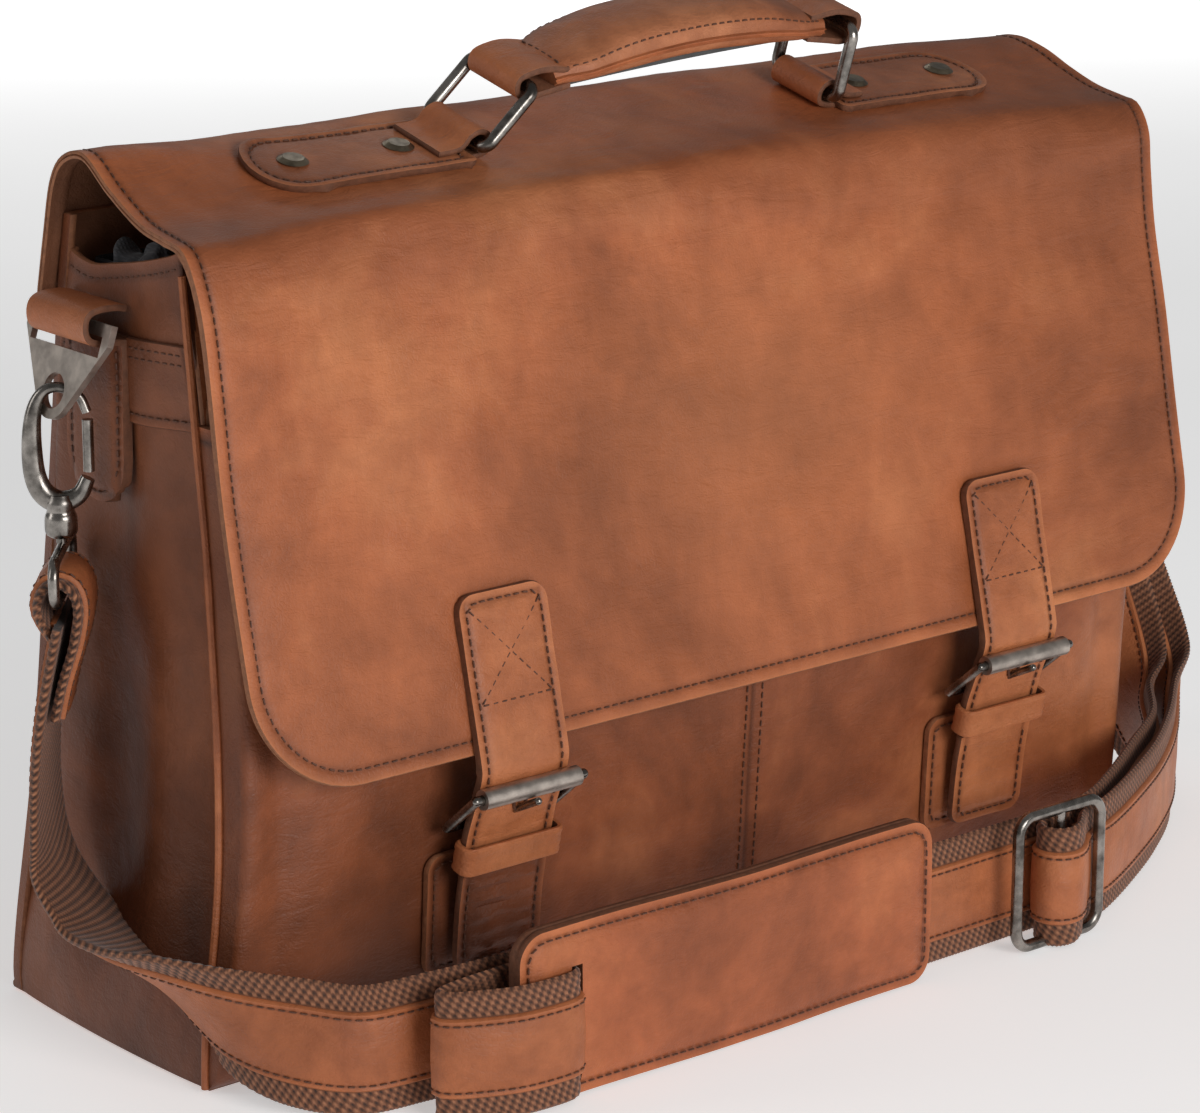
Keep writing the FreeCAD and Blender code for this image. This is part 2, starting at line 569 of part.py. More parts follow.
def right_route():
    """Both layers of the doubled strap between the adjuster and the right hook."""
    turn = math.radians(90 - HOOK_TURN)
    edge_on = (math.cos(turn), math.sin(turn), 0)
    up = (0, 0, 1)
    top = hook_origin()
    foot = V(-top.x, top.y, top.z - SWIVEL_BAR_DROP - 7.8)
    outer = [((89, -128, 20.4), up), ((112, -126, 20.4), up), ((140, -113, 20.4), up), ((172, -95, 20.4), up),
             ((203, -73, 20.8), up),
             ((229, -48, 23), (-0.2, 0.2, 1)), ((242, -24, 34), (-0.3, 0.45, 0.9)), ((244, -8, 58), (-0.2, 0.8, 0.5)),
             ((236, -2, 90), (-0.3, 0.95, 0.1)), ((foot.x + 6.0, foot.y, foot.z), edge_on)]
    inner = [((-112, -121.6, 20.4), up), ((-45, -121.8, 20.4), up), ((25, -121.8, 20.4), up), ((89, -121, 20.4), up),
             ((112, -118.5, 20.4), up), ((137, -106.5, 20.4), up), ((167, -88.5, 20.4), up), ((197, -70, 20.8), up),
             ((219.5, -44, 23), (-0.2, 0.2, 1)), ((230, -22, 36), (-0.3, 0.45, 0.9)), ((231, -7, 60), (-0.2, 0.8, 0.5)),
             ((225, -2, 90), (-0.3, 0.95, 0.1)), ((foot.x - 3.0, foot.y, foot.z), edge_on)]
    return {"strap_right_outer": outer, "strap_right_inner": inner}


def strap_loop(sign):
    """Sewn loop of the strap round the swivel's bar."""
    bar = hook_origin() - V(0, 0, SWIVEL_BAR_DROP)
    half = 17.0
    tube = Part.makeCylinder(6.2, 2 * half, V(0, -half, 0), V(0, 1, 0))
    tube = tube.cut(Part.makeCylinder(3.4, 2 * half, V(0, -half, 0), V(0, 1, 0)))
    tube.rotate(V(0, 0, 0), V(0, 0, 1), HOOK_TURN)
    tube.translate(bar)
    return tube if sign < 0 else mirrored(tube)


def shoulder_pad():
    """Pad with a slot near its left end, standing on its long edge."""
    x0, x1 = PAD_X
    y0, y1 = PAD_Y
    plate = rounded_plate(x0, x1, 0, PAD_TOP, y1 - y0, [9] * 4)
    plate = placed(plate, V(0, y1, 0), 90)
    slot = box(PAD_SLOT - 2.5, PAD_SLOT + 2.5, -200, 0, 5.9, 49.0)
    return plate.cut(slot)


def adjuster():
    """Rounded wire slide with a centre bar that the strap is sewn on."""
    x = 84.0
    frame = wire_pipe(rounded_loop(19.0, 45.0, 6.0), 2.0)
    frame.rotate(V(0, 0, 0), V(0, 0, 1), 90)
    frame.translate(V(x, -134.0, 2.1))
    bar = rod(V(x, -134.0, 2.1), V(x, -134.0, 47.0), 1.8)
    return frame.fuse(bar).removeSplitter()


def main():
    os.makedirs("parts", exist_ok=True)
    body_panels()
    front_pocket()
    save("side_piping", Part.makeCompound([piping(-1), piping(1)]))
    flap()
    handle_anchors()
    handle_grip(handle_rings())
    left_pieces = dict(side_pieces())
    left_pieces["strap_ring"] = strap_ring()
    left_pieces.update(hook_pieces())
    for name, shape in left_pieces.items():
        save(name + "_left", shape)
        save(name + "_right", mirrored(shape))
    save("snap_sockets", Part.makeCompound([snap_socket(-1), snap_socket(1)]))
    for side, sign in (("left", -1), ("right", 1)):
        frame, roller, prong = buckle(sign)
        tail, stud = tail_pieces(sign)
        pieces = {"front_strap": front_strap(sign), "buckle_frame": frame, "buckle_roller": roller,
                  "buckle_prong": prong, "strap_keeper": keeper(sign), "strap_tail": tail,
                  "snap_stud": stud, "catch_tab": catch_tab(sign),
                  "strap_loop": strap_loop(sign)}
        for name, shape in pieces.items():
            save(name + "_" + side, shape)
    for name, stations in list(strap_route().items()) + list(right_route().items()):
        save(name, band_solid(stations))
    save("shoulder_pad", shoulder_pad())
    save("adjuster_slide", adjuster())


NODES = {}
main()
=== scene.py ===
"""Visual model of a leather briefcase, built round its CAD frame.

Shapes are written in millimetres in the CAD frame (X right, front -Y, Z up, floor at 0) and
scaled to metres when a mesh is made.
"""
import math

import bmesh
import bpy
import numpy as np
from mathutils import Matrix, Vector, noise


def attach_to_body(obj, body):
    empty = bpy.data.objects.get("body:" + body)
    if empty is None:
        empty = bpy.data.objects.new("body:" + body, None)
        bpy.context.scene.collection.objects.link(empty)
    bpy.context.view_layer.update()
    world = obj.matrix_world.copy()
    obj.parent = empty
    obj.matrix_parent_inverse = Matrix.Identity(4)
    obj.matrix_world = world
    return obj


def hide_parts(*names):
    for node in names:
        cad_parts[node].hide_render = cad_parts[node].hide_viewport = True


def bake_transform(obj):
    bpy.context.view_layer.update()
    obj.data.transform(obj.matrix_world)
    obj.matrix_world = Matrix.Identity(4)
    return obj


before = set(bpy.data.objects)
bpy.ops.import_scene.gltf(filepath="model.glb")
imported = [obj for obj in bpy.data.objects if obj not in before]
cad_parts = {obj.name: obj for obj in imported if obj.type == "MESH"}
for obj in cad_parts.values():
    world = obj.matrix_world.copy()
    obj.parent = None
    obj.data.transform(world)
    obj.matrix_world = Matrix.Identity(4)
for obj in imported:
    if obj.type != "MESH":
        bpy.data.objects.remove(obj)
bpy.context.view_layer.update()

MM = 0.001
SIDES = (("left", -1), ("right", 1))

# Body
SIDE = 196.0                   # half the width of the body at its top
FLARE_LEFT = 8.0               # how far the left side spreads at the floor
TUCK_RIGHT = 13.0              # how far the right side draws in near the floor
FRONT_SEAM = ((-56.5, 0), (-56.5, 30), (-56.5, 90), (-54.5, 150), (-49.5, 200), (-43.5, 256))
BACK_LINE = ((54, 0), (55, 12), (52, 60), (43.5, 120), (34, 180), (26, 232), (21, 258))
PANEL_LINE = ((-53, 3), (-57, 60), (-57.5, 120), (-52, 190), (-42.5, 254))
POCKET_LINE = ((-58, 0.5), (-63.5, 5), (-67.5, 20), (-70.5, 60), (-71.8, 105), (-69, 150), (-62, 190),
               (-58.6, 205))
GUSSET_TOP = ((-46, 256.5), (-38, 253.5), (-22, 249.5), (-5, 246), (5, 244.5), (16, 247), (24, 251))
WALL = 2.2
WALL_FEET = (0.5, 2, 4, 7, 11)   # heights of the lowest rows of points, close together at the floor
POCKET_TOP = 205.0
PANEL_TOP = 254.0
BACK_TOP = 258.0
GUSSET_REACH = 250.0           # the gussets' columns are spaced as they are at this height
DIVIDER_TOP = 215.0
POCKET_SEAM = 4.0              # X of the seam down the middle of the pocket
CORNER_POWER = 12              # how tightly a wall turns into its side seam

# Flap: its side profile at the left edge, in the middle and at the right edge, from the lower
# front edge up and over to the seam on the back
FLAP_HALF = 200.0
FLAP_THICK = 2.4
FLAP_CORNER = 35.0
FLAP_LEFT = ((-87.3, 98), (-80.5, 125), (-72.9, 158), (-67.4, 187), (-63.6, 216), (-60.5, 236),
             (-56.3, 249), (-50.6, 257.6), (-41.7, 259.9), (-28.8, 262.6), (-13.4, 270.3), (0.5, 279.2),
             (12.4, 277), (19.6, 268.5), (24.5, 251), (29.2, 232))
FLAP_MIDDLE = ((-87.3, 98), (-81, 125), (-73.8, 158), (-67.4, 187), (-60.8, 216), (-56.4, 236),
               (-54, 249), (-49.6, 259.6), (-41.7, 263), (-28.8, 266.2), (-13.4, 270.1), (0.5, 273.5),
               (13, 276.2), (21.2, 272.6), (25.2, 252), (29.2, 232))
FLAP_RIGHT = ((-86.5, 98), (-79.4, 125), (-72.3, 158), (-66.6, 187), (-59.9, 216), (-57, 236),
              (-55.4, 249), (-49.9, 257.8), (-42.5, 259.6), (-30, 262), (-17, 266.5), (-4, 271.8),
              (10, 274.6), (20.8, 271), (25, 252), (29.2, 232))
FLARE_FROM = 118.0             # beyond this the flap leaves its middle profile
FLAP_SPLIT_Y = -15.5           # the flap's two pieces meet here on its top
SEAM_IN = 4.2                  # stitch rows run this far from an edge
SEAM_DEPTH = 0.45
SEAM_WIDTH = 1.0

# Plane of the flap's top, which holds the handle
TOP_ORIGIN = (0.0, -15.52, 269.57)
TOP_ANGLE = math.radians(14.04)

# Handle
ANCHOR = (74.0, 152.0)
ANCHOR_HALF = 17.0
LOOP_HALF = 11.8
GRIP_LEFT = (-57.94, 22.64)
GRIP_RIGHT = (75.67, 28.74)
GRIP_RISE = 6.0
WELT = ((0.4, 1.0), (1.3, 0.75), (0.6, 0.15), (0.6, -0.15), (1.3, -0.75), (0.4, -1.0))

# Front straps
STRAP_X = (-107.0, 107.0)
STRAP_HALF = 17.0
STRAP_LINE = ((-80.8, 57.5), (-84.0, 71), (-88.3, 82), (-91.4, 91), (-90.7, 98), (-85, 122), (-79.7, 146))
TAIL_LINE = ((-76.6, 24), (-78.6, 44), (-80.9, 56.5))
KEEPER = (-83.2, 63.0)         # middle of the keeper on the strap's outer side
BOX_STITCH = 34.0              # length of the crossed box
BUCKLE_HOLE = (-88.7, 80.4)    # where the prong goes through the strap

# Sewn thread
STITCH_PITCH = 3.3
STITCH_LENGTH = 2.5
STITCH_WIDTH = 0.62
STITCH_SINK = 0.25             # how far a stitch's ends go into the leather
STITCH_RISE = 0.05
STITCH_SIDES = 6

# Strap hardware
BAR = (206.0, 229.5)           # X and Z of the triangular ring's bar
BAND_HALF = 47.0
BAND_DEPTH = 25.5
BAND_FOOT = 199.5
TAB_HALF = 15.5
TAB_FOOT = 173.0
HOOK_HOLE = (-212.64, 0.0, 209.05)
HOOK_LIFT = 1.2
HOOK_TURN = math.radians(-40)
SWIVEL_DROP = 61.5

# Shoulder strap
WEB_HALF = 20.0
LOOP_WEB_HALF = 17.0           # narrowed by its stitching
WEB_THICK = 2.6
STRIP_HALF = 12.6
WEAVE = 2.8                    # length of one yarn of the webbing
YARN_WIDTH = 1.7
YARN_LEAN = 0.45               # how far the braid runs along for each millimetre across
YARN_RISE = 0.3
PAD = (-141.0, 29.0, 55.0)     # left, right and top
PAD_Y = -130.5
PAD_THICK = 5.6
PAD_SLOT = (-122.5, -118.4, 2.6, 43.0)
PAD_CORNER = 9.0
PAD_SEAM = 3.0

# Where the camera stands and how it is turned, in metres and degrees
CAMERA_PLACE = (-0.856, -1.029, 0.498)
CAMERA_AZIMUTH = -39.7
CAMERA_HEIGHT = 15.8
CAMERA_LENS = 124.2
CAMERA_SENSOR = 36.0

# Light
WHITE = (1, 1, 1, 1)
FLOOR_GLOW = 0.42
WORLD_STRENGTH = 0.19

SMOOTH_BELOW = math.radians(42)
THREAD_PITCH = 0.0011          # of the lining, in metres


# ---------------------------------------------------------------- lines and frames

def even(line, step):
    """The same line with points evenly about step apart; extra columns are carried along."""
    line = np.asarray(line, float)
    lengths = lengths_along(line[:, :3])
    count = max(3, round(lengths[-1] / step) + 1)
    at = np.linspace(0, lengths[-1], count)
    return np.stack([np.interp(at, lengths, column) for column in line.T], axis=1)


def smooth_line(points, step):
    """Smooth line through the given points."""
    p = np.array(points, float)
    p = np.vstack([2 * p[0] - p[1], p, 2 * p[-1] - p[-2]])
    t = np.linspace(0, 1, 16, endpoint=False)[:, None]
    spans = []
    for a, b, c, d in zip(p, p[1:], p[2:], p[3:]):
        square = 2 * a - 5 * b + 4 * c - d
        cube = 3 * b - a - 3 * c + d
        spans.append(0.5 * (2 * b + (c - a) * t + square * t ** 2 + cube * t ** 3))
    return even(np.vstack(spans + [p[-2:-1]]), step)


def unit(v):
    v = np.asarray(v, float)
    return v / np.maximum(np.linalg.norm(v, axis=-1, keepdims=True), 1e-9)


def read(line, z):
    """Y of a (Y, Z) line at height z."""
    return float(np.interp(z, line[:, 1], line[:, 0]))


def lengths_along(line):
    return np.concatenate([[0], np.cumsum(np.linalg.norm(np.diff(line, axis=0), axis=1))])


def bell(x, centre, width):
    """1 at the centre, falling away smoothly on both sides."""
    return math.exp(-((x - centre) / width) ** 2)


def sign_of(u):
    return -1 if u < 0 else 1


def ease(t):
    t = np.clip(t, 0, 1)
    return t * t * (3 - 2 * t)


def rough(x, y, z, size, seed=0.0):
    """Smooth random height, about -1 to 1."""
    return noise.noise(Vector((x / size + seed, y / size - seed, z / size + 3.1 * seed)))


def top_frame(x, across, up):
    """Point given in the plane of the flap's top."""
    c, s = math.cos(TOP_ANGLE), math.sin(TOP_ANGLE)
    return np.array([x, TOP_ORIGIN[1] + across * c - up * s, TOP_ORIGIN[2] + across * s + up * c])


# ---------------------------------------------------------------- meshes

def build(name, verts, faces, materials, groups, tone=None):
    """Closed mesh object in metres with its faces turned outwards."""
    mesh = bpy.data.meshes.new(name)
    mesh.from_pydata((np.asarray(verts) * MM).tolist(), [], faces)
    for material in materials:
        mesh.materials.append(MATERIALS[material])
    mesh.polygons.foreach_set("material_index", groups)
    mesh.polygons.foreach_set("use_smooth", [True] * len(faces))
    if tone is not None:
        layer = mesh.attributes.new("tone", "FLOAT", "POINT")
        layer.data.foreach_set("value", np.asarray(tone, float))
    work = bmesh.new()
    work.from_mesh(mesh)
    bmesh.ops.recalc_face_normals(work, faces=work.faces)
    work.to_mesh(mesh)
    work.free()
    mesh.set_sharp_from_angle(angle=SMOOTH_BELOW)
    mesh.update()
    piece = bpy.data.objects.new(name, mesh)
    bpy.context.collection.objects.link(piece)
    return piece


def grid_normals(grid):
    return unit(np.cross(np.gradient(grid, axis=1), np.gradient(grid, axis=0)))


SINGLE_RIM = ((0.3, 0.35), (0.7, 0.35))
DOUBLE_RIM = ((0.12, 0.3), (0.36, 0.35), (0.5, -0.35), (0.64, 0.35), (0.88, 0.3))


def sheet(name, grid, thickness, materials, rim=SINGLE_RIM, tone=None, hole=None):
    """Sheet of leather or cloth. grid[row][column] is its outer side, rows upwards, columns to the right.

    materials are for the outer side, the inner side and the cut edge, and rim gives (depth, bulge) round
    that edge. hole is (first row, last row, first column, last column) of a slot.
    """
    rows, cols = grid.shape[:2]
    normals = grid_normals(grid)
    size = rows * cols
    verts = list(grid.reshape(-1, 3)) + list((grid - normals * thickness).reshape(-1, 3))
    tones = [0.0] * (2 * size) if tone is None else list(np.asarray(tone).reshape(-1)) + [0.0] * size
    index = np.arange(size).reshape(rows, cols)
    faces, groups = [], []

    def skipped(r, c):
        return hole is not None and hole[0] <= r < hole[1] and hole[2] <= c < hole[3]

    for r in range(rows - 1):
        for c in range(cols - 1):
            if skipped(r, c):
                continue
            quad = [index[r, c], index[r, c + 1], index[r + 1, c + 1], index[r + 1, c]]
            faces.append([int(i) for i in quad])
            faces.append([int(i) + size for i in quad[::-1]])
            groups += [0, 1]
    around = [(0, c) for c in range(cols)] + [(r, cols - 1) for r in range(1, rows)]
    around += [(rows - 1, c) for c in range(cols - 2, -1, -1)] + [(r, 0) for r in range(rows - 2, 0, -1)]
    rings = [[int(index[rc]) for rc in around]]
    for depth, bulge in rim:
        ring = []
        for r, c in around:
            inside = grid[min(max(r, 1), rows - 2), min(max(c, 1), cols - 2)]
            n = normals[r, c]
            out = grid[r, c] - inside
            out = unit(out - n * out.dot(n))
            ring.append(len(verts))
            verts.append(grid[r, c] - n * thickness * depth + out * bulge)
            tones.append(0.0)
        rings.append(ring)
    rings.append([i + size for i in rings[0]])
    for upper, lower in zip(rings, rings[1:]):
        for i in range(len(around)):
            j = (i + 1) % len(around)
            faces.append([upper[i], lower[i], lower[j], upper[j]])
            groups.append(2)
    if hole is not None:
        r0, r1, c0, c1 = hole
        border = [(r0, c) for c in range(c0, c1)] + [(r, c1) for r in range(r0, r1)]
        border += [(r1, c) for c in range(c1, c0, -1)] + [(r, c0) for r in range(r1, r0, -1)]
        for i, rc in enumerate(border):
            a, b = int(index[rc]), int(index[border[(i + 1) % len(border)]])
            faces.append([a, b, b + size, a + size])
            groups.append(2)
    return build(name, verts, faces, materials, groups, tones)


def sweep(name, line, wide, section, materials, groups=None, closed=False, tone=None):
    """Solid along a line. section is a list of (across, out) points, or one list for each point.

    wide is the direction of across, and groups gives the material of each side of the section.
    """
    line = np.asarray(line, float)
    count = len(line)
    if closed:
        along = unit(np.roll(line, -1, axis=0) - np.roll(line, 1, axis=0))
    else:
        along = unit(np.gradient(line, axis=0))
    wide = np.broadcast_to(np.asarray(wide, float), line.shape)
    wide = unit(wide - along * np.sum(wide * along, axis=1, keepdims=True))
    out = np.cross(along, wide)
    section = np.asarray(section, float)
    if section.ndim == 2:
        section = np.broadcast_to(section, (count,) + section.shape)
    sides = section.shape[1]
    verts = line[:, None] + wide[:, None] * section[..., :1] + out[:, None] * section[..., 1:2]
    verts = verts.reshape(-1, 3)
    faces, kinds = [], []
    for i in range(count if closed else count - 1):
        j = (i + 1) % count
        for k in range(sides):
            m = (k + 1) % sides
            faces.append([i * sides + k, i * sides + m, j * sides + m, j * sides + k])
            kinds.append(0 if groups is None else groups[k])
    if not closed:
        faces.append(list(range(sides)))
        faces.append([(count - 1) * sides + k for k in range(sides)][::-1])
        kinds += [0, 0]
    return build(name, verts, faces, materials, kinds, tone)


def circle(radius, sides=12, squash=1.0):
    angles = np.arange(sides) * 2 * math.pi / sides
    return np.stack([radius * np.cos(angles), radius * squash * np.sin(angles)], axis=1)


def stitches(name, paths):
    """Sewn thread along paths of (points, outward normals). Each stitch is a small rounded stick."""
    ring = STITCH_SIDES
    verts, faces = [], []
    for points, normals in paths:
        both = even(np.hstack([points, normals]), STITCH_PITCH)
        centres, ups = both[:, :3], unit(both[:, 3:])
        along = unit(np.gradient(centres, axis=0))
        for c, n, a in zip(centres[:-1] + np.diff(centres, axis=0) / 2, ups, along):
            side = np.cross(n, a)
            first = len(verts)
            verts.append(c - a * STITCH_LENGTH / 2 - n * STITCH_SINK)
            for shift in (-0.33, 0.33):
                for k in range(ring):
                    angle = 2 * math.pi * k / ring
                    around = (side * math.cos(angle) + n * math.sin(angle)) * STITCH_WIDTH / 2
                    verts.append(c + a * STITCH_LENGTH * shift + around + n * STITCH_RISE)
            verts.append(c + a * STITCH_LENGTH / 2 - n * STITCH_SINK)
            last = len(verts) - 1
            for k in range(ring):
                low, next_low = first + 1 + k, first + 1 + (k + 1) % ring
                faces.append([first, next_low, low])
                faces.append([low, next_low, next_low + ring, low + ring])
                faces.append([last, low + ring, next_low + ring])
    return build(name, verts, faces, ["thread"], [0] * len(faces))


def normal_at(surface, a, b, h):
    return unit(np.cross(surface(a + h, b) - surface(a - h, b), surface(a, b + h) - surface(a, b - h)))


def on_surface(surface, params, lift=0.0):
    """Points and normals of surface(a, b) at a list of (a, b)."""
    normals = np.array([normal_at(surface, a, b, 0.6) for a, b in params])
    return np.array([surface(a, b) for a, b in params]) + normals * lift, normals


def facing(points, way):
    """Points whose normals all point the same way."""
    points = np.array(points)
    return points, np.broadcast_to(way, points.shape)


# ---------------------------------------------------------------- strips with rounded corners

EDGE_STEPS = (0.0, 0.5, 1.4, 2.6, 3.4, 4.2, 5.0, 6.2, 8.0)


def corner_cut(x, half, corner):
    """How far a rounded corner moves the end of a strip at x."""
    over = np.maximum(np.abs(x) - (half - corner), 0)
    return corner - np.sqrt(np.maximum(corner ** 2 - over ** 2, 0))


def patch(half, length, low, high, step):
    """(rows, columns, 2) grid of (across, along) over a strip whose ends have rounded corners."""
    big = max(low, high, 8.0)
    turn = np.sin(np.linspace(0, math.pi / 2, max(8, int(big / 2.2))))
    side = half - big + big * turn
    middle = np.linspace(-(half - big), half - big, max(3, int(2 * (half - big) / step)))
    edge = half - np.array(EDGE_STEPS)
    right = np.unique(np.concatenate([side, edge[edge > half - big]]))
    right = right[np.concatenate([[True], np.diff(right) > 0.15])]
    right[-1] = half
    across = np.concatenate([-right[::-1], middle[1:-1], right])
    steps = np.array([s for s in EDGE_STEPS if s < length / 3])
    start, stop = corner_cut(across, half, low), length - corner_cut(across, half, high)
    rows = [start + s for s in steps]
    inner = np.linspace(0, 1, max(3, int((length - 2 * steps[-1]) / step)))[1:-1]
    rows += [start + steps[-1] + (stop - start - 2 * steps[-1]) * f for f in inner]
    rows += [stop - s for s in steps[::-1]]
    return np.stack([np.broadcast_to(across, (len(rows), len(across))), np.array(rows)], axis=-1)


def edge_gap(x, s, half, length, low, high):
    """Distance from the outline of such a strip."""
    gap = min(half - abs(x), s, length - s)
    for corner, end in ((low, s), (high, length - s)):
        if corner and abs(x) > half - corner and end < corner:
            gap = min(gap, corner - math.hypot(abs(x) - (half - corner), corner - end))
    return gap


def outline(half, length, low, high, inset, sides=("left", "low", "right", "high")):
    """Line of (across, along) at a distance inside the outline, anticlockwise from the upper left."""
    w, lo, hi = half - inset, inset, length - inset
    a, b = max(low - inset, 0.3), max(high - inset, 0.3)
    turn = np.linspace(0, math.pi / 2, 9)
    parts = {
        "left": [(-w, hi - b), (-w, lo + a)],
        "low": [(-w + a - a * math.cos(t), lo + a - a * math.sin(t)) for t in turn]
        + [(w - a + a * math.sin(t), lo + a - a * math.cos(t)) for t in turn],
        "right": [(w, lo + a), (w, hi - b)],
        "high": [(w - b + b * math.cos(t), hi - b + b * math.sin(t)) for t in turn]
        + [(-w + b - b * math.sin(t), hi - b + b * math.cos(t)) for t in turn],
    }
    return even(np.array([p for side in sides for p in parts[side]]), 2.0)


def seam_dip(gap, inset=SEAM_IN, depth=SEAM_DEPTH):
    return -depth * bell(gap, inset, SEAM_WIDTH)


def edge_tone(gap, inset=SEAM_IN):
    """Lighter along a worn edge, darker along the seam."""
    return 0.85 * math.exp(-gap / 1.1) - 0.5 * bell(gap, inset, 1.1)


# ---------------------------------------------------------------- materials

def shader_tree(name):
    material = bpy.data.materials.new(name)
    material.use_nodes = True
    tree = material.node_tree
    return material, tree, tree.nodes["Principled BSDF"]


def noise_node(tree, scale, detail=4.0, roughness=0.55, distortion=0.0, vector=None):
    node = tree.nodes.new("ShaderNodeTexNoise")
    node.inputs["Scale"].default_value = scale
    node.inputs["Detail"].default_value = detail
    node.inputs["Roughness"].default_value = roughness
    node.inputs["Distortion"].default_value = distortion
    if vector is None:
        vector = object_coordinates(tree)
    tree.links.new(vector, node.inputs["Vector"])
    return node.outputs["Fac"]


def object_coordinates(tree):
    for node in tree.nodes:
        if node.bl_idname == "ShaderNodeTexCoord":
            return node.outputs["Object"]
    return tree.nodes.new("ShaderNodeTexCoord").outputs["Object"]


def stretched(tree, scale):
    node = tree.nodes.new("ShaderNodeMapping")
    node.inputs["Scale"].default_value = scale
    tree.links.new(object_coordinates(tree), node.inputs["Vector"])
    return node.outputs["Vector"]


def ramp(tree, factor, stops):
    node = tree.nodes.new("ShaderNodeValToRGB")
    while len(node.color_ramp.elements) < len(stops):
        node.color_ramp.elements.new(0.5)
    for element, (position, colour) in zip(node.color_ramp.elements, stops):
        element.position = position
        element.color = (*colour, 1.0)
    tree.links.new(factor, node.inputs["Fac"])
    return node.outputs["Color"]


def mix(tree, factor, a, b, blend="MIX"):
    """Mix of two colours; each of factor, a and b is an output socket or a constant."""
    node = tree.nodes.new("ShaderNodeMix")
    node.data_type = "RGBA"
    node.blend_type = blend
    for socket, value in (("Factor", factor), ("A", a), ("B", b)):
        target = [i for i in node.inputs if i.name == socket and i.enabled][0]
        if hasattr(value, "is_output"):
            tree.links.new(value, target)
        else:
            target.default_value = value if socket == "Factor" else (*value, 1.0)
    return [o for o in node.outputs if o.enabled][0]


def arithmetic(tree, operation, *values, clamp=False):
    node = tree.nodes.new("ShaderNodeMath")
    node.operation = operation
    node.use_clamp = clamp
    for socket, value in zip(node.inputs, values):
        if hasattr(value, "is_output"):
            tree.links.new(value, socket)
        else:
            socket.default_value = value
    return node.outputs[0]


def paint(tree, shader, colour, numbers):
    """Colour socket and constant numbers of a shader."""
    tree.links.new(colour, shader.inputs["Base Color"])
    for name, value in numbers.items():
        shader.inputs[name].default_value = value


def bump(tree, heights, shader):
    """Chain of bumps from (height socket, strength, distance in metres)."""
    last = None
    for height, strength, distance in heights:
        node = tree.nodes.new("ShaderNodeBump")
        node.inputs["Strength"].default_value = strength
        node.inputs["Distance"].default_value = distance
        tree.links.new(height, node.inputs["Height"])
        if last is not None:
            tree.links.new(last, node.inputs["Normal"])
        last = node.outputs["Normal"]
    tree.links.new(last, shader.inputs["Normal"])


def attribute(tree, name):
    node = tree.nodes.new("ShaderNodeAttribute")
    node.attribute_name = name
    return node


def leather(name, dark, middle, light, patches=9.0, contrast=1.0, gloss=0.46):
    """Waxy pull-up leather: cloudy patches, fine mottling, scratches, grain, and tone from the mesh, which
    lightens worn edges and darkens seams, and on the flap also carries painted light and shade.
    """
    material, tree, shader = shader_tree(name)
    cloud = noise_node(tree, patches, 5.0, 0.6, 0.5)
    base = ramp(tree, cloud, [(0.5 - 0.2 / contrast, dark), (0.5, middle), (0.5 + 0.2 / contrast, light)])
    mottle = noise_node(tree, patches * 7, 6.0, 0.65, 0.3)
    mottle = ramp(tree, mottle, [(0.3, (0.72, 0.7, 0.68)), (0.72, (1.16, 1.17, 1.18))])
    base = mix(tree, 0.7, base, mottle, "MULTIPLY")
    streak = noise_node(tree, 60.0, 5.0, 0.7, 1.2, stretched(tree, (1.0, 1.0, 0.22)))
    streak = ramp(tree, streak, [(0.35, (0.86, 0.85, 0.84)), (0.65, (1.1, 1.11, 1.12))])
    base = mix(tree, 0.4, base, streak, "MULTIPLY")
    tone = attribute(tree, "tone").outputs["Fac"]
    # Positive tone lightens worn edges and, on the flap, paints a pool of light; negative tone darkens seams
    # and the walls' feet and, on the flap, paints shade.
    wear_and_painted_light = arithmetic(tree, "MULTIPLY", tone, 0.5, clamp=True)
    darker_and_painted_shade = arithmetic(tree, "MULTIPLY", tone, -1.0, clamp=True)
    base = mix(tree, wear_and_painted_light, base, scaled(light, 1.1))
    base = mix(tree, darker_and_painted_shade, base, scaled(dark, 0.45))
    paint(tree, shader, base, {"Specular IOR Level": 0.32, "Coat Weight": 0.05, "Coat Roughness": 0.38})
    shine = ramp(tree, noise_node(tree, 34.0, 4.0), [(0.3, (gloss - 0.07,) * 3), (0.7, (gloss + 0.12,) * 3)])
    tree.links.new(shine, shader.inputs["Roughness"])
    cells = tree.nodes.new("ShaderNodeTexVoronoi")
    cells.feature = "DISTANCE_TO_EDGE"
    cells.inputs["Scale"].default_value = 620.0
    tree.links.new(object_coordinates(tree), cells.inputs["Vector"])
    grain = arithmetic(tree, "MINIMUM", cells.outputs["Distance"], 0.22)
    crease = noise_node(tree, 85.0, 6.0, 0.62, 1.6, stretched(tree, (0.5, 1.0, 1.6)))
    undulation = noise_node(tree, 28.0, 4.0, 0.5)
    pores = noise_node(tree, 1500.0, 3.0)
    bump(tree, [(undulation, 0.5, 0.0024), (crease, 0.5, 0.0012), (grain, 0.5, 0.0005),
                (pores, 0.12, 0.0002)], shader)
    return material


def scaled(colour, factor):
    return tuple(min(1.0, c * factor) for c in colour)


def fibrous(name, colour, spread, shade, relief, roughness, strength, depth):
    """One colour whose shade spreads between two factors; shade and relief are (scale, detail, roughness)."""
    material, tree, shader = shader_tree(name)
    stops = [(0.3, scaled(colour, spread[0])), (0.7, scaled(colour, spread[1]))]
    paint(tree, shader, ramp(tree, noise_node(tree, *shade), stops), {"Roughness": roughness})
    bump(tree, [(noise_node(tree, *relief), strength, depth)], shader)
    return material


def cut_edge(name, colour):
    """Raw leather edge of pale fibres."""
    return fibrous(name, colour, (0.62, 1.2), (420.0, 5.0, 0.7), (420.0, 5.0, 0.7), 0.72, 0.5, 0.0004)


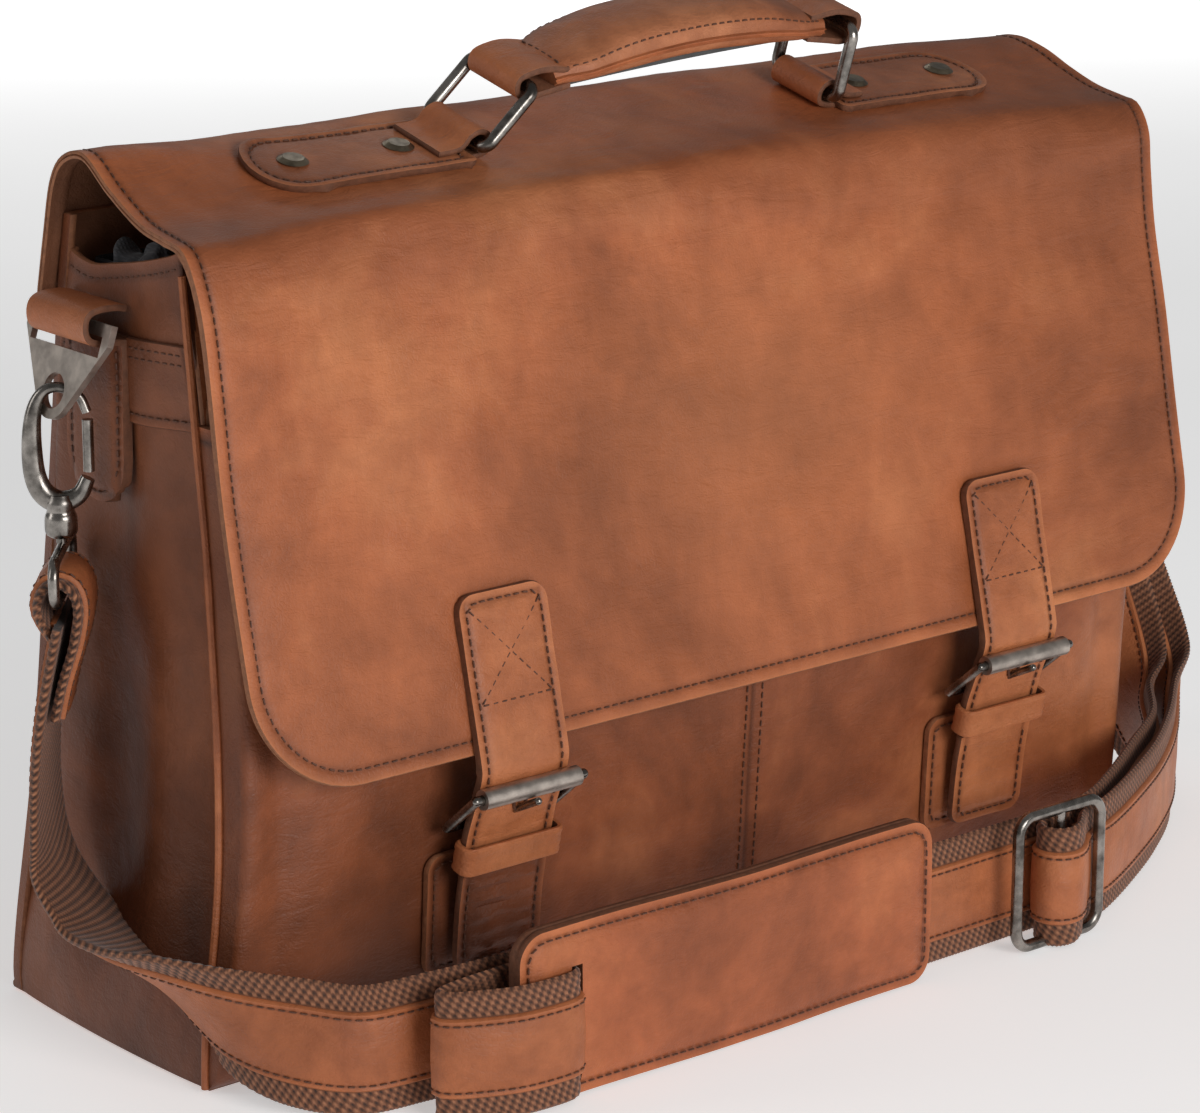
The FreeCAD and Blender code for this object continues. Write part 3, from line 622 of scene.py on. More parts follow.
def cloth(name, dark, light):
    """Plain woven cloth from two crossed waves."""
    material, tree, shader = shader_tree(name)
    waves = []
    for direction in ("X", "Z"):
        wave = tree.nodes.new("ShaderNodeTexWave")
        wave.bands_direction = direction
        wave.inputs["Scale"].default_value = 0.314 / THREAD_PITCH
        wave.inputs["Distortion"].default_value = 0.6
        tree.links.new(object_coordinates(tree), wave.inputs["Vector"])
        waves.append(wave.outputs["Fac"])
    weave = arithmetic(tree, "MULTIPLY", waves[0], waves[1])
    shade = mix(tree, 0.5, ramp(tree, weave, [(0.0, dark), (1.0, light)]),
                ramp(tree, noise_node(tree, 45.0), [(0.3, dark), (0.7, light)]))
    paint(tree, shader, shade, {"Roughness": 0.85, "Sheen Weight": 0.25})
    bump(tree, [(noise_node(tree, 60.0), 0.4, 0.002), (weave, 0.5, 0.0004)], shader)
    return material


def webbing_material(name):
    """Coarse braided webbing. The tone attribute holds the height of each yarn, and the colour follows it:
    painted shade in the hollows between yarns, painted light on their tops.
    """
    material, tree, shader = shader_tree(name)
    yarn = arithmetic(tree, "MULTIPLY_ADD", attribute(tree, "tone").outputs["Fac"], 0.5, 0.5)
    speck = noise_node(tree, 900.0, 4.0, 0.7)
    speck = ramp(tree, speck, [(0.3, (0.7, 0.68, 0.66)), (0.7, (1.25, 1.25, 1.25))])
    # The darkest stop is painted shade in the hollows between yarns, and the lightest is painted light on
    # their tops.
    hollow, flank, painted_crown_light = (0.02, 0.008, 0.004), (0.13, 0.046, 0.02), (0.36, 0.15, 0.072)
    colour = ramp(tree, yarn, [(0.08, hollow), (0.45, flank), (0.92, painted_crown_light)])
    colour = mix(tree, 0.8, colour, speck, "MULTIPLY")
    paint(tree, shader, colour, {"Roughness": 0.78, "Sheen Weight": 0.15})
    bump(tree, [(noise_node(tree, 1300.0, 3.0), 0.5, 0.0004)], shader)
    return material


def metal(name, dark, light, rough_low, rough_high):
    """Plated metal with darker worn patches and fine brushing."""
    material, tree, shader = shader_tree(name)
    patches = ramp(tree, noise_node(tree, 120.0, 5.0, 0.6), [(0.35, dark), (0.62, light)])
    paint(tree, shader, patches, {"Metallic": 1.0})
    dull = ramp(tree, noise_node(tree, 260.0), [(0.3, (rough_low,) * 3), (0.7, (rough_high,) * 3)])
    tree.links.new(dull, shader.inputs["Roughness"])
    brushed = noise_node(tree, 900.0, 3.0, 0.6, 0.0, stretched(tree, (1.0, 1.0, 0.12)))
    bump(tree, [(brushed, 0.12, 0.0002), (noise_node(tree, 300.0), 0.1, 0.0003)], shader)
    return material


def thread_material(name, colour):
    return fibrous(name, colour, (0.5, 1.5), (1600.0, 3.0, 0.6), (1600.0, 3.0, 0.6), 0.6, 0.4, 0.0002)


def board(name, colour):
    return fibrous(name, colour, (0.8, 1.2), (200.0,), (700.0, 3.0), 0.7, 0.3, 0.0003)


MATERIALS = {
    "flap": leather("flap_leather", (0.25, 0.07, 0.024), (0.42, 0.123, 0.044), (0.6, 0.215, 0.085),
                    patches=7.0, contrast=1.35),
    "body": leather("body_leather", (0.14, 0.039, 0.014), (0.28, 0.078, 0.028), (0.45, 0.148, 0.056),
                    contrast=1.3),
    "gusset": leather("gusset_leather", (0.085, 0.025, 0.01), (0.18, 0.055, 0.022), (0.3, 0.098, 0.04),
                      patches=8.0),
    "strip": leather("strip_leather", (0.26, 0.074, 0.027), (0.41, 0.127, 0.047), (0.54, 0.19, 0.074),
                     patches=14.0),
    "pad": leather("pad_leather", (0.24, 0.064, 0.022), (0.39, 0.107, 0.038), (0.51, 0.16, 0.058),
                   patches=12.0),
    "handle": leather("handle_leather", (0.19, 0.06, 0.026), (0.36, 0.118, 0.049), (0.5, 0.19, 0.085),
                      patches=16.0),
    "suede": leather("flap_lining_leather", (0.12, 0.045, 0.022), (0.2, 0.078, 0.037), (0.28, 0.11, 0.055),
                     patches=20.0, gloss=0.75),
    "edge": cut_edge("raw_edge", (0.31, 0.12, 0.052)),
    "dark_edge": cut_edge("dark_edge", (0.16, 0.058, 0.026)),
    "thread": thread_material("dark_thread", (0.1, 0.034, 0.015)),
    "web": webbing_material("brown_webbing"),
    "lining": cloth("dark_lining", (0.02, 0.02, 0.023), (0.075, 0.075, 0.083)),
    "metal": metal("antique_nickel", (0.1, 0.09, 0.08), (0.36, 0.33, 0.3), 0.16, 0.36),
    "plate": metal("brushed_plate", (0.34, 0.295, 0.26), (0.56, 0.49, 0.43), 0.34, 0.5),
    "rivet": metal("antique_brass", (0.12, 0.095, 0.065), (0.33, 0.27, 0.19), 0.28, 0.45),
    "board": board("stiff_board", (0.06, 0.06, 0.06)),
}


# ---------------------------------------------------------------- helpers for pieces

def attach(piece, body, slot, *nodes):
    """The piece rides on a body and stands for these CAD nodes, which it hides; slot is not used."""
    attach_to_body(piece, body)
    if nodes:
        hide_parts(*nodes)
    return piece


def leather_sheet(name, surface, half, length, low, high, thickness, materials, body, slot, nodes, step,
                  inset, sewn=("left", "low", "right", "high"), relief=None, puff=0.0):
    """Stitched strip: surface(across, along) gives a point, and the seam runs at inset from the sewn sides.

    low and high are the radii of the corners at the strip's two ends.
    """
    def gap_at(a, b):
        if "high" not in sewn:
            return min(half - abs(a), b)
        if "low" not in sewn:
            return min(half - abs(a), length - b)
        return edge_gap(a, b, half, length, low, high)

    rows, tones = [], []
    for row in patch(half, length, low, high, step):
        line, tone = [], []
        for a, b in row:
            gap = gap_at(a, b)
            height = seam_dip(gap, inset) + puff * ease((gap - 1.0) / 6.0)
            if relief is not None:
                height += relief(a, b)
            line.append(surface(a, b) + normal_at(surface, a, b, 0.7) * height)
            tone.append(edge_tone(gap, inset))
        rows.append(line)
        tones.append(tone)
    piece = sheet(name, np.array(rows), thickness, materials, tone=np.array(tones))
    attach(piece, body, slot, *nodes)
    path = outline(half, length, low, high, inset, sewn)
    attach(stitches(name + "_stitches", [on_surface(surface, path, puff * 0.5 - 0.15)]), body, slot)


def loop_columns(half):
    middle = np.linspace(-half + 1.5, half - 1.5, 12)
    return np.concatenate([[-half, -half + 0.5], middle, [half - 0.5, half]])


def leather_loop(name, body, place, profile, half, thickness, paleness):
    """Strip bent round a bar. place(across, p, q) gives the point at (p, q) of its profile."""
    line = smooth_line(profile, 0.9)
    across = loop_columns(half)
    grid = np.array([[place(a, p, q) for a in across] for p, q in line])
    tone = np.array([[paleness + 0.5 * math.exp(-(half - abs(a))) for a in across] for _ in line])
    loop = sheet(name, grid, thickness, ("strip", "suede", "dark_edge"), tone=tone)
    attach(loop, body, "trim_leather")


def bent(line, middle):
    """Surface(across, along) of a strip that follows a (Y, Z) line, with its middle at X."""
    points = smooth_line(line, 1.0)
    lengths = lengths_along(points)

    def surface(a, b):
        over = b - min(max(b, 0), lengths[-1])
        y = np.interp(b, lengths, points[:, 0])
        z = np.interp(b, lengths, points[:, 1])
        end = unit(points[-1] - points[-2]) if over > 0 else unit(points[1] - points[0])
        return np.array([middle + a, y + end[0] * over, z + end[1] * over])

    return surface, lengths[-1]


# ---------------------------------------------------------------- flap

FLAP_LINES = {}


def flap_line(x):
    """Dense side profile of the flap at x, with the length from its lower edge."""
    key = round(float(x), 2)
    if key not in FLAP_LINES:
        edge = FLAP_LEFT if x < 0 else FLAP_RIGHT
        weight = ease((abs(x) - FLARE_FROM) / (FLAP_HALF - FLARE_FROM))
        points = np.array(FLAP_MIDDLE, float) * (1 - weight) + np.array(edge, float) * weight
        line = smooth_line(points, 1.0)
        FLAP_LINES[key] = (line, lengths_along(line))
    return FLAP_LINES[key]


def flap_point(x, s):
    """Point of the flap's outer side, s from the lower edge, without its fine relief."""
    x = min(max(x, -FLAP_HALF), FLAP_HALF)
    line, lengths = flap_line(x)
    y = np.interp(s, lengths, line[:, 0])
    z = np.interp(s, lengths, line[:, 1])
    return np.array([x, y, z])


def flap_reach(x, y):
    """Length along the flap at which its top passes y."""
    line, lengths = flap_line(x)
    upper = np.argmax(line[:, 1] > 256)
    return float(np.interp(y, line[upper:upper + 80, 0], lengths[upper:upper + 80]))


def flap_relief(x, s, gap):
    """Soft dents and pulls in the leather, calmer on the top under the handle."""
    near_hand = ease((abs(s - 200) - 8) / 30)
    on_top = float(s > 180 and abs(x) < 170)
    calm = 1.0 - 0.85 * on_top * (1 - near_hand)
    height = 1.2 * rough(x, s, 0, 75, 2.0) + 0.55 * rough(x * 0.6, s, 0, 22, 5.0)
    height += 0.16 * rough(x, s, 0, 7, 9.0)
    pull = bell(s, 158, 16) * 0.8 * rough(x * 0.35, s * 2.2, 0, 14, 4.0)
    return (height + pull) * calm * ease(gap / 14) + seam_dip(gap, SEAM_IN, 0.5)


def flap_painted_light_and_shade(x, s):
    """Painted light and shade on the flap: a painted pool of light in the middle of the front, and painted
    shade along the front fold and towards the right.
    """
    # fold and right are painted shade; the bell in the middle of the front is a painted pool of light
    fold = 0.34 * bell(s, 168, 24)
    right = 0.24 * ease((x - 60) / 120) * ease((190 - s) / 60)
    return 0.5 * bell(x, 5, 70) * bell(s, 85, 50) - fold - right


def flap_half(name, first, last, bodies, start, end, nodes, at_front):
    """One of the two pieces of the flap, from length first(x) to last(x)."""
    edge = np.array(EDGE_STEPS)

    grid, tones = [], []
    for x in patch(FLAP_HALF, 300.0, FLAP_CORNER, 0, 5.0)[0, :, 0]:
        low, high = first(x), last(x)
        rows = np.linspace(low, high, 34)
        if at_front:
            rows = np.concatenate([low + edge, np.linspace(low + edge[-1], high, 64)[1:]])
        line, tone = [], []
        for s in rows:
            gap = min(FLAP_HALF - abs(x), high - s)
            if at_front:
                gap = edge_gap(x, s, FLAP_HALF, 1e4, FLAP_CORNER, 0)
            line.append(flap_point(x, s) + normal_at(flap_point, x, s, 0.8) * flap_relief(x, s, gap))
            # The first term marks worn edges and the seam; the second term is painted light and shade on the
            # flap.
            tone.append(edge_tone(gap) + flap_painted_light_and_shade(x, s))
        grid.append(line)
        tones.append(tone)
    grid = np.array(grid).transpose(1, 0, 2)
    piece = sheet(name, grid, FLAP_THICK, ("flap", "suede", "edge"), DOUBLE_RIM, np.array(tones).T)
    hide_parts(*nodes)
    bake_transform(piece)


def flap_stitches(name, params, bodies, start, end):
    thread = stitches(name, [on_surface(flap_point, p, -0.2) for p in params])
    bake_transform(thread)


def flap():
    def split(x):
        return flap_reach(x, FLAP_SPLIT_Y)

    def total(x):
        return flap_line(x)[1][-1]

    front = (("flap_top", "flap_front"), (0, -0.036, 0.2655), (0, -0.0545, 0.247))
    rear = (("root", "flap_top"), (0, 0.0265, 0.262), (0, 0.006, 0.2755))
    flap_half("flap_leather_front", lambda x: float(corner_cut(x, FLAP_HALF, FLAP_CORNER)), split, *front,
              ("flap_front", "flap_front_fold"), True)
    flap_half("flap_leather_rear", split, total, *rear, ("flap_top", "flap_rear_fold"), False)
    rim = outline(FLAP_HALF, 400.0, FLAP_CORNER, 0, SEAM_IN, ("low",))
    side = FLAP_HALF - SEAM_IN
    left_up = [(-side, s) for s in np.arange(FLAP_CORNER, split(-side), 2.0)]
    right_up = [(side, s) for s in np.arange(FLAP_CORNER, split(side), 2.0)]
    flap_stitches("flap_stitches_front", [left_up[::-1] + [tuple(p) for p in rim] + right_up], *front)
    rows = [[(k * side, s) for s in np.arange(split(k * side), total(k * side) - 4, 2.0)] for k in (-1, 1)]
    for inset in (4.0, 8.0):
        rows.append([(x, total(x) - inset) for x in np.arange(-side + 2, side, 3.0)])
    flap_stitches("flap_stitches_rear", rows, *rear)


# ---------------------------------------------------------------- body

def side_x(sign, z):
    """Distance of the side seam from the middle at height z."""
    if sign < 0:
        return SIDE + FLARE_LEFT * bell(z, 0, 50)
    return SIDE - TUCK_RIGHT * (1 - ease((z - 70) / 150))


FRONT_Y = smooth_line(FRONT_SEAM, 1.0)
BACK_Y = smooth_line(BACK_LINE, 1.0)
POCKET_Y = smooth_line(POCKET_LINE, 1.0)


def turned_in(u):
    """1 over a wall's face, falling to 0 where it turns into its side seams."""
    return (1 - min(abs(u), 1.0) ** CORNER_POWER) ** (1 / CORNER_POWER)


def pocket_point(u, z):
    """Point of the pocket, which curves back to the side seams. u runs from -1 to 1."""
    x = u * side_x(sign_of(u), z)
    seam = read(FRONT_Y, z)
    y = seam + (read(POCKET_Y, z) - seam) * turned_in(u)
    calm = ease((1 - abs(u)) / 0.06) * ease(z / 25)
    hollow = 3.0 * bell(abs(u), 0.93, 0.035) * ease(z / 40) * ease((POCKET_TOP - z) / 60)
    dents = 1.5 * rough(x, 0, z, 62, 7.0) + 0.5 * rough(x, 0, z * 0.6, 22, 1.0)
    centre = 0.9 * bell(x, POCKET_SEAM, 2.2)
    return np.array([x, y + (calm * dents + hollow + centre), z])


def wall_tone(u, z):
    """Darker towards the side seams and the floor."""
    return -0.5 * math.exp(-(1 - abs(u)) * 60) - 0.35 * math.exp(-z / 6)


def wall_columns():
    inner = np.sin(np.linspace(-math.pi / 2, math.pi / 2, 90))
    seam = np.array([-1.5, -0.8, 0, 0.8, 1.5]) / SIDE + POCKET_SEAM / SIDE
    return np.unique(np.concatenate([inner, np.linspace(-0.95, 0.95, 60), seam]))


def pocket():
    rim = POCKET_TOP - np.array([9, 6, 5, 4, 3, 1.5, 0.5, 0])
    heights = np.concatenate([WALL_FEET, np.linspace(16, 192, 54), rim])
    columns = wall_columns()

    def tone_at(u, z):
        return edge_tone(POCKET_TOP - z) - 0.7 * bell(u * SIDE, POCKET_SEAM, 1.3) + wall_tone(u, z)

    grid = np.array([[pocket_point(u, z) for u in columns] for z in heights])
    tone = np.array([[tone_at(u, z) for u in columns] for z in heights])
    piece = sheet("pocket_leather", grid, WALL, ("body", "suede", "edge"), tone=tone)
    attach(piece, "root", "bag_leather", "front_pocket")

    def at(x, z):
        return pocket_point(x / side_x(sign_of(x), z), z)

    rows = [[(x, POCKET_TOP - SEAM_IN) for x in np.arange(-190, 190, 3.0)]]
    for shift in (-3.2, 3.2):
        rows.append([(POCKET_SEAM + shift, z) for z in np.arange(202, 3, -3.0)])
    attach(stitches("pocket_stitches", [on_surface(at, r) for r in rows]), "root", "bag_leather")


def front_panel():
    """Panel behind the pocket."""
    line = smooth_line(PANEL_LINE, 1.0)
    rim = PANEL_TOP - np.array([5, 4, 3, 1.5, 0.5, 0])
    heights = np.concatenate([np.linspace(3, 246, 42), rim])
    middle = np.linspace(-0.93, 0.93, 60)
    columns = np.concatenate([np.linspace(-1, -0.95, 6), middle, np.linspace(0.95, 1, 6)])

    def point(u, z):
        x = u * (side_x(sign_of(u), z) - 2.5)
        return np.array([x, read(line, z) + 0.8 * rough(u * 190, 0, z, 70, 3.0), z])

    grid = np.array([[point(u, z) for u in columns] for z in heights])
    tone = np.array([[edge_tone(PANEL_TOP - z)] * len(columns) for z in heights])
    piece = sheet("front_panel_leather", grid, WALL, ("body", "suede", "edge"), tone=tone)
    attach(piece, "root", "bag_leather", "front_panel")
    row = [point(u, PANEL_TOP - SEAM_IN) for u in np.linspace(-0.98, 0.98, 120)]
    attach(stitches("front_panel_stitches", [facing(row, (0.0, -1.0, 0.0))]), "root", "bag_leather")


def back_panel():
    def point(u, z):
        x = -u * side_x(-sign_of(u), z)
        share = turned_in(u)
        dents = 1.6 * rough(x, 5, z, 80, 6.0) * ease(z / 30) * ease((BACK_TOP - z) / 30)
        return np.array([x, read(BACK_Y, z) - 6 * (1 - share) + share * dents, z])

    heights = np.concatenate([WALL_FEET, np.linspace(16, 250, 58), BACK_TOP - np.array([4, 1, 0])])
    columns = wall_columns()
    grid = np.array([[point(u, z) for u in columns] for z in heights])
    tone = np.array([[wall_tone(u, z) for u in columns] for z in heights])
    piece = sheet("back_panel_leather", grid, WALL, ("body", "suede", "edge"), tone=tone)
    attach(piece, "root", "bag_leather", "back_panel")
    rows = []
    for inset in (SEAM_IN, SEAM_IN + 4):
        u = -1 + inset / SIDE
        levels = np.linspace(4, 228, 90)
        rows += [[point(u, z) for z in levels], [point(-u, z) for z in levels[::-1]]]
    thread = stitches("back_panel_stitches", [facing(row, (0.0, 1.0, 0.0)) for row in rows])
    attach(thread, "root", "bag_leather")


def base():
    """Base with soft rounded edges that overlap the walls' feet."""
    def point(u, v):
        x = u * (side_x(sign_of(u), 0) - 0.6)
        y = (read(FRONT_Y, 0) - 1.0) * (1 - v) / 2 + (read(BACK_Y, 0) - 0.4) * (1 + v) / 2
        return np.array([x, y, 0.0])

    spread = np.sin(np.linspace(-math.pi / 2, math.pi / 2, 50))
    grid = np.array([[point(u, v) for u in spread] for v in spread[::2][::-1]])
    piece = sheet("base_leather", grid[::-1, ::-1], 2.4, ("body", "body", "dark_edge"))
    attach(piece, "root", "bag_leather", "base_panel")
    reach = (-SIDE + 8, SIDE - TUCK_RIGHT - 8)
    plate = np.array([[(x, y, 4.6) for x in np.linspace(*reach, 12)] for y in np.linspace(-44, 44, 6)])
    stiffener = sheet("base_stiffener", plate, 2.0, ("board", "board", "board"))
    attach(stiffener, "root", "base_board", "base_board")


def gusset_top(y):
    line = smooth_line(GUSSET_TOP, 1.0)
    return float(np.interp(y, line[:, 0], line[:, 1]))


def gusset_point(sign, v, z):
    """Point of a side wall. v runs from 0 at the front seam to 1 at the back."""
    front, back = read(FRONT_Y, z), read(BACK_Y, z) - 5.0
    y = front + (back - front) * v
    share = (1 - abs(2 * v - 1) ** 10) ** 0.1
    fade = ease(z / 70) * ease((250 - z) / 70)
    fold = (2.6 * math.cos(2 * math.pi * (y + 22) / 50) - 2.2) * fade
    fold += 1.3 * rough(0, y, z * 0.5, 26, 8.0 + sign) * ease(z / 30)
    belly = 4.0 * bell(z, 22, 26) * (1 - (2 * v - 1) ** 2)
    return np.array([sign * (side_x(sign, z) + share * (fold + belly) - 3.0 * (1 - share)), y, z])


def gussets():
    spaced = 0.5 - 0.5 * np.cos(np.linspace(0, math.pi, 34))
    columns = np.unique(np.concatenate([spaced, np.linspace(0.05, 0.95, 30)]))
    rim = [0.962, 0.974, 0.98, 0.986, 0.992, 1.0]
    levels = np.concatenate([[0, 0.01, 0.02, 0.04], np.linspace(0.06, 0.95, 52), rim])
    front, back = read(FRONT_Y, GUSSET_REACH), read(BACK_Y, GUSSET_REACH) - 5.0

    def top_at(v):
        return gusset_top(front + (back - front) * v)

    for side, sign in SIDES:
        grid, tones = [], []
        for level in levels:
            row, tone = [], []
            for v in columns[::sign]:
                top = top_at(v)
                z = 0.5 + (top - 0.5) * level
                row.append(gusset_point(sign, v, z))
                tone.append(edge_tone(top - z) - 0.6 * math.exp(-min(v, 1 - v) * 45) - 0.3 * math.exp(-z / 7))
            grid.append(row)
            tones.append(tone)
        materials = ("gusset", "suede", "edge")
        piece = sheet("gusset_leather_" + side, np.array(grid), WALL, materials, tone=np.array(tones))
        attach(piece, "root", "gusset_leather", "gusset_" + side)
        row = [gusset_point(sign, v, top_at(v) - SEAM_IN) for v in np.linspace(0.03, 0.97, 50)]
        thread = stitches("gusset_stitches_" + side, [facing(row, (float(sign), 0, 0))])
        attach(thread, "root", "gusset_leather")
        seam_welt(side, sign)
        side_band(side, sign)
        ring_tab(side, sign)


def seam_welt(side, sign):
    """Turned seam that stands proud between a gusset and the front."""
    line = []
    for z in np.linspace(0.8, 249, 120):
        wander = 0.5 * rough(0, 0, z, 40, sign)
        line.append((sign * (side_x(sign, z) + 0.6), read(FRONT_Y, z) - 0.4 + wander, z))
    sections = [circle(1.25 + 0.15 * rough(0, 0, z, 15, 2.0), 8) for z in np.linspace(0, 249, 120)]
    welt = sweep("seam_welt_" + side, line, (0.0, 1.0, 0.0), sections, ("strip",))
    nodes = ("side_piping",) if sign < 0 else ()
    attach(welt, "root", "trim_leather", *nodes)


def side_band(side, sign):
    """Doubled band across the top of a gusset."""
    def surface(a, b):
        v = 0.03 + 0.94 * (a + BAND_HALF) / (2 * BAND_HALF)
        if sign < 0:
            v = 1 - v
        p = gusset_point(sign, v, BAND_FOOT + b + 0.06 * (60 * (1 - v) - 20))
        p[0] += sign * 1.5
        return p

    leather_sheet("band_leather_" + side, surface, BAND_HALF, BAND_DEPTH, 0, 0, 1.5,
                  ("gusset", "suede", "dark_edge"), "root", "gusset_leather", ("side_band_" + side,),
                  3.0, 2.6, sewn=("low",))
    for number, inset in enumerate((2.6, 5.6)):
        path = [(a, BAND_DEPTH - inset) for a in np.arange(-45, 45, 2.0)]
        thread = stitches("band_stitches_%s_%d" % (side, number), [on_surface(surface, path)])
        attach(thread, "root", "gusset_leather")


def ring_tab(side, sign):
    """Rounded tongue on a gusset, and the end that is rolled round the triangular ring's bar."""
    def tongue(a, b):
        return np.array([sign * (SIDE + 3.4 + 0.3 * math.sin(b / 9)), sign * a, TAB_FOOT + b])

    leather_sheet("tab_tongue_" + side, tongue, TAB_HALF, 52, 15.0, 0, 3.2, ("gusset", "suede", "dark_edge"),
                  "root", "gusset_leather", (), 3.0, 2.8, sewn=("left", "low", "right"), puff=0.7)
    profile = [(-9.0, -6.4), (-4, -5.6), (2.2, -5.0), (5.6, -2.8), (6.5, 1.2), (5.2, 5.0), (1.4, 6.8),
               (-5, 6.9), (-9.0, 6.2)]
    line = smooth_line(np.array(profile) + BAR, 1.2)
    edge = np.array([-TAB_HALF, 0.4 - TAB_HALF, 1.5 - TAB_HALF])
    across = np.concatenate([edge, np.linspace(3 - TAB_HALF, TAB_HALF - 3, 14), -edge[::-1]])
    grid = np.array([[(sign * x, sign * y, z) for y in across] for x, z in line])
    tone = np.array([[0.35 + 0.4 * math.exp(-(TAB_HALF - abs(y)) / 1.2) for y in across] for _ in line])
    roll = sheet("tab_roll_" + side, grid, 2.0, ("strip", "suede", "dark_edge"), tone=tone)
    attach(roll, "root", "gusset_leather", "ring_tab_" + side)


# ---------------------------------------------------------------- lining and inner pieces

def lining():
    """Cloth bag inside the body, with a crumpled edge that shows above the left gusset."""
    along, back_along = np.linspace(-0.97, 0.97, 60), np.linspace(0.97, -0.97, 60)
    ring = [(u, 0.0) for u in along] + [(0.985, v) for v in np.linspace(0.03, 0.97, 16)]
    ring += [(u, 1.0) for u in back_along] + [(-0.985, v) for v in np.linspace(0.97, 0.03, 16)]
    front = smooth_line(PANEL_LINE, 1.0)

    def wall_point(u, v, z):
        y0, y1 = read(front, z) + WALL + 1.0, read(BACK_Y, z) - WALL - 1.2
        x = u * (side_x(sign_of(u), z) - WALL - 5.5)
        y = y0 + (y1 - y0) * v
        return x, y + 0.5 * rough(x, y, z, 14, 3.0) * (1 if v < 0.5 else -1), z

    def crumpled_point(a, b):
        x = -192 + 16 * b + 2.2 * rough(a, b * 30, 0, 6, 4.0)
        z = 242 + 10.5 * math.sin(math.pi * min(b * 1.15, 1)) * (0.75 + 0.25 * math.sin(a / 3.1))
        return x, a + 1.8 * rough(a, b * 30, 9, 7, 6.0), z + 2.4 * rough(a, b * 24, 5, 5, 2.0)

    grid = np.array([[wall_point(u, v, z) for u, v in ring + ring[:1]] for z in np.linspace(4, 243, 40)])
    walls = sheet("lining_cloth", grid, 0.5, ("lining", "lining", "lining"))
    attach(walls, "root", "lining_cloth", "main_lining")
    grid = np.array([[crumpled_point(a, b) for b in np.linspace(0, 1, 30)] for a in np.linspace(-27, 2, 42)])
    edge = sheet("lining_crumple", grid, 0.5, ("lining", "lining", "lining"))
    attach(edge, "root", "lining_cloth")


def divider():
    """Padded divider of the laptop sleeve, quilted in vertical channels."""
    def point(u, z):
        x = u * (side_x(sign_of(u), z) - 10)
        gap = min((1 - abs(u)) * SIDE, z - 6, DIVIDER_TOP - z)
        swell = 1.2 * ease(gap / 5) * (0.55 + 0.45 * abs(math.sin(math.pi * x / 47)))
        return np.array([x, 13.9 - swell, z])

    levels = np.linspace(6, DIVIDER_TOP, 46)
    grid = np.array([[point(u, z) for u in np.linspace(-1, 1, 120)] for z in levels])
    piece = sheet("divider_pad", grid, 3.6, ("lining", "lining", "lining"), rim=((0.25, 0.5), (0.75, 0.5)))
    attach(piece, "root", "divider_padding", "laptop_divider")


# ---------------------------------------------------------------- handle

def border(a, b):
    """Raised rim of a handle anchor outside its seam."""
    gap = edge_gap(a, b, ANCHOR_HALF, ANCHOR[1] - ANCHOR[0] - 3.0, ANCHOR_HALF - 0.5, 3.0)
    return 0.5 * bell(gap, 1.4, 1.1) + 0.25 * rough(a, b, 0, 9, 4.0)


def anchors():
    inner, outer = ANCHOR
    loop = ((7, -0.6), (2, -0.2), (-4.0, 1.4), (-5.4, 5.0), (-3.8, 8.6), (0, 10.0), (4.0, 8.4), (6.5, 5.4),
            (10, 4.4), (15, 4.2))
    for side, sign in SIDES:
        def surface(a, b, sign=sign):
            x = sign * (outer - b)
            reach = flap_reach(x, TOP_ORIGIN[1] + sign * a)
            p = flap_point(x, reach)
            along = unit(flap_point(x, reach + 1.0) - p)
            return p + np.array([0.0, -along[2], along[1]]) * 2.3

        def around_ring(a, p, q, sign=sign):
            return top_frame(sign * inner + sign * p, -sign * a, q)

        leather_sheet("anchor_leather_" + side, surface, ANCHOR_HALF, outer - inner - 3.0,
                      ANCHOR_HALF - 0.5, 3.0, 2.5, ("handle", "suede", "dark_edge"), "flap_top",
                      "trim_leather", ("handle_anchor_" + side,), 4.0, 3.2, relief=border)
        leather_loop("anchor_loop_" + side, "flap_top", around_ring, loop, LOOP_HALF, 1.8, 0.25)


def grip_axis(t):
    """X, and height over the flap's top, of the grip's middle at a share t of its length."""
    (xl, zl), (xr, zr) = GRIP_LEFT, GRIP_RIGHT
    x = xl + 11.0 + (xr - 10.0 - (xl + 11.0)) * t
    return x, zl + (zr - zl) * (x - xl) / (xr - xl) + GRIP_RISE * (1 - (2 * t - 1) ** 2)


def grip_size(t):
    """Half width of the grip, and how far it swells above and below its welt."""
    near = min(t, 1 - t)
    fill = ease(near / 0.3)
    return 11.6 + 3.6 * ease(near / 0.12), 3.4 + 4.2 * fill, 2.8 + 2.6 * fill


def grip_arc(half, swell, angles, way):
    """Rounded upper (way 1) or lower (way -1) side of the grip's section."""
    points = []
    for angle in angles * math.pi:
        across = half * math.copysign(abs(math.cos(angle)) ** 0.8, math.cos(angle))
        points.append((across, way * (1.1 + swell * math.sin(angle) ** 0.75)))
    return points


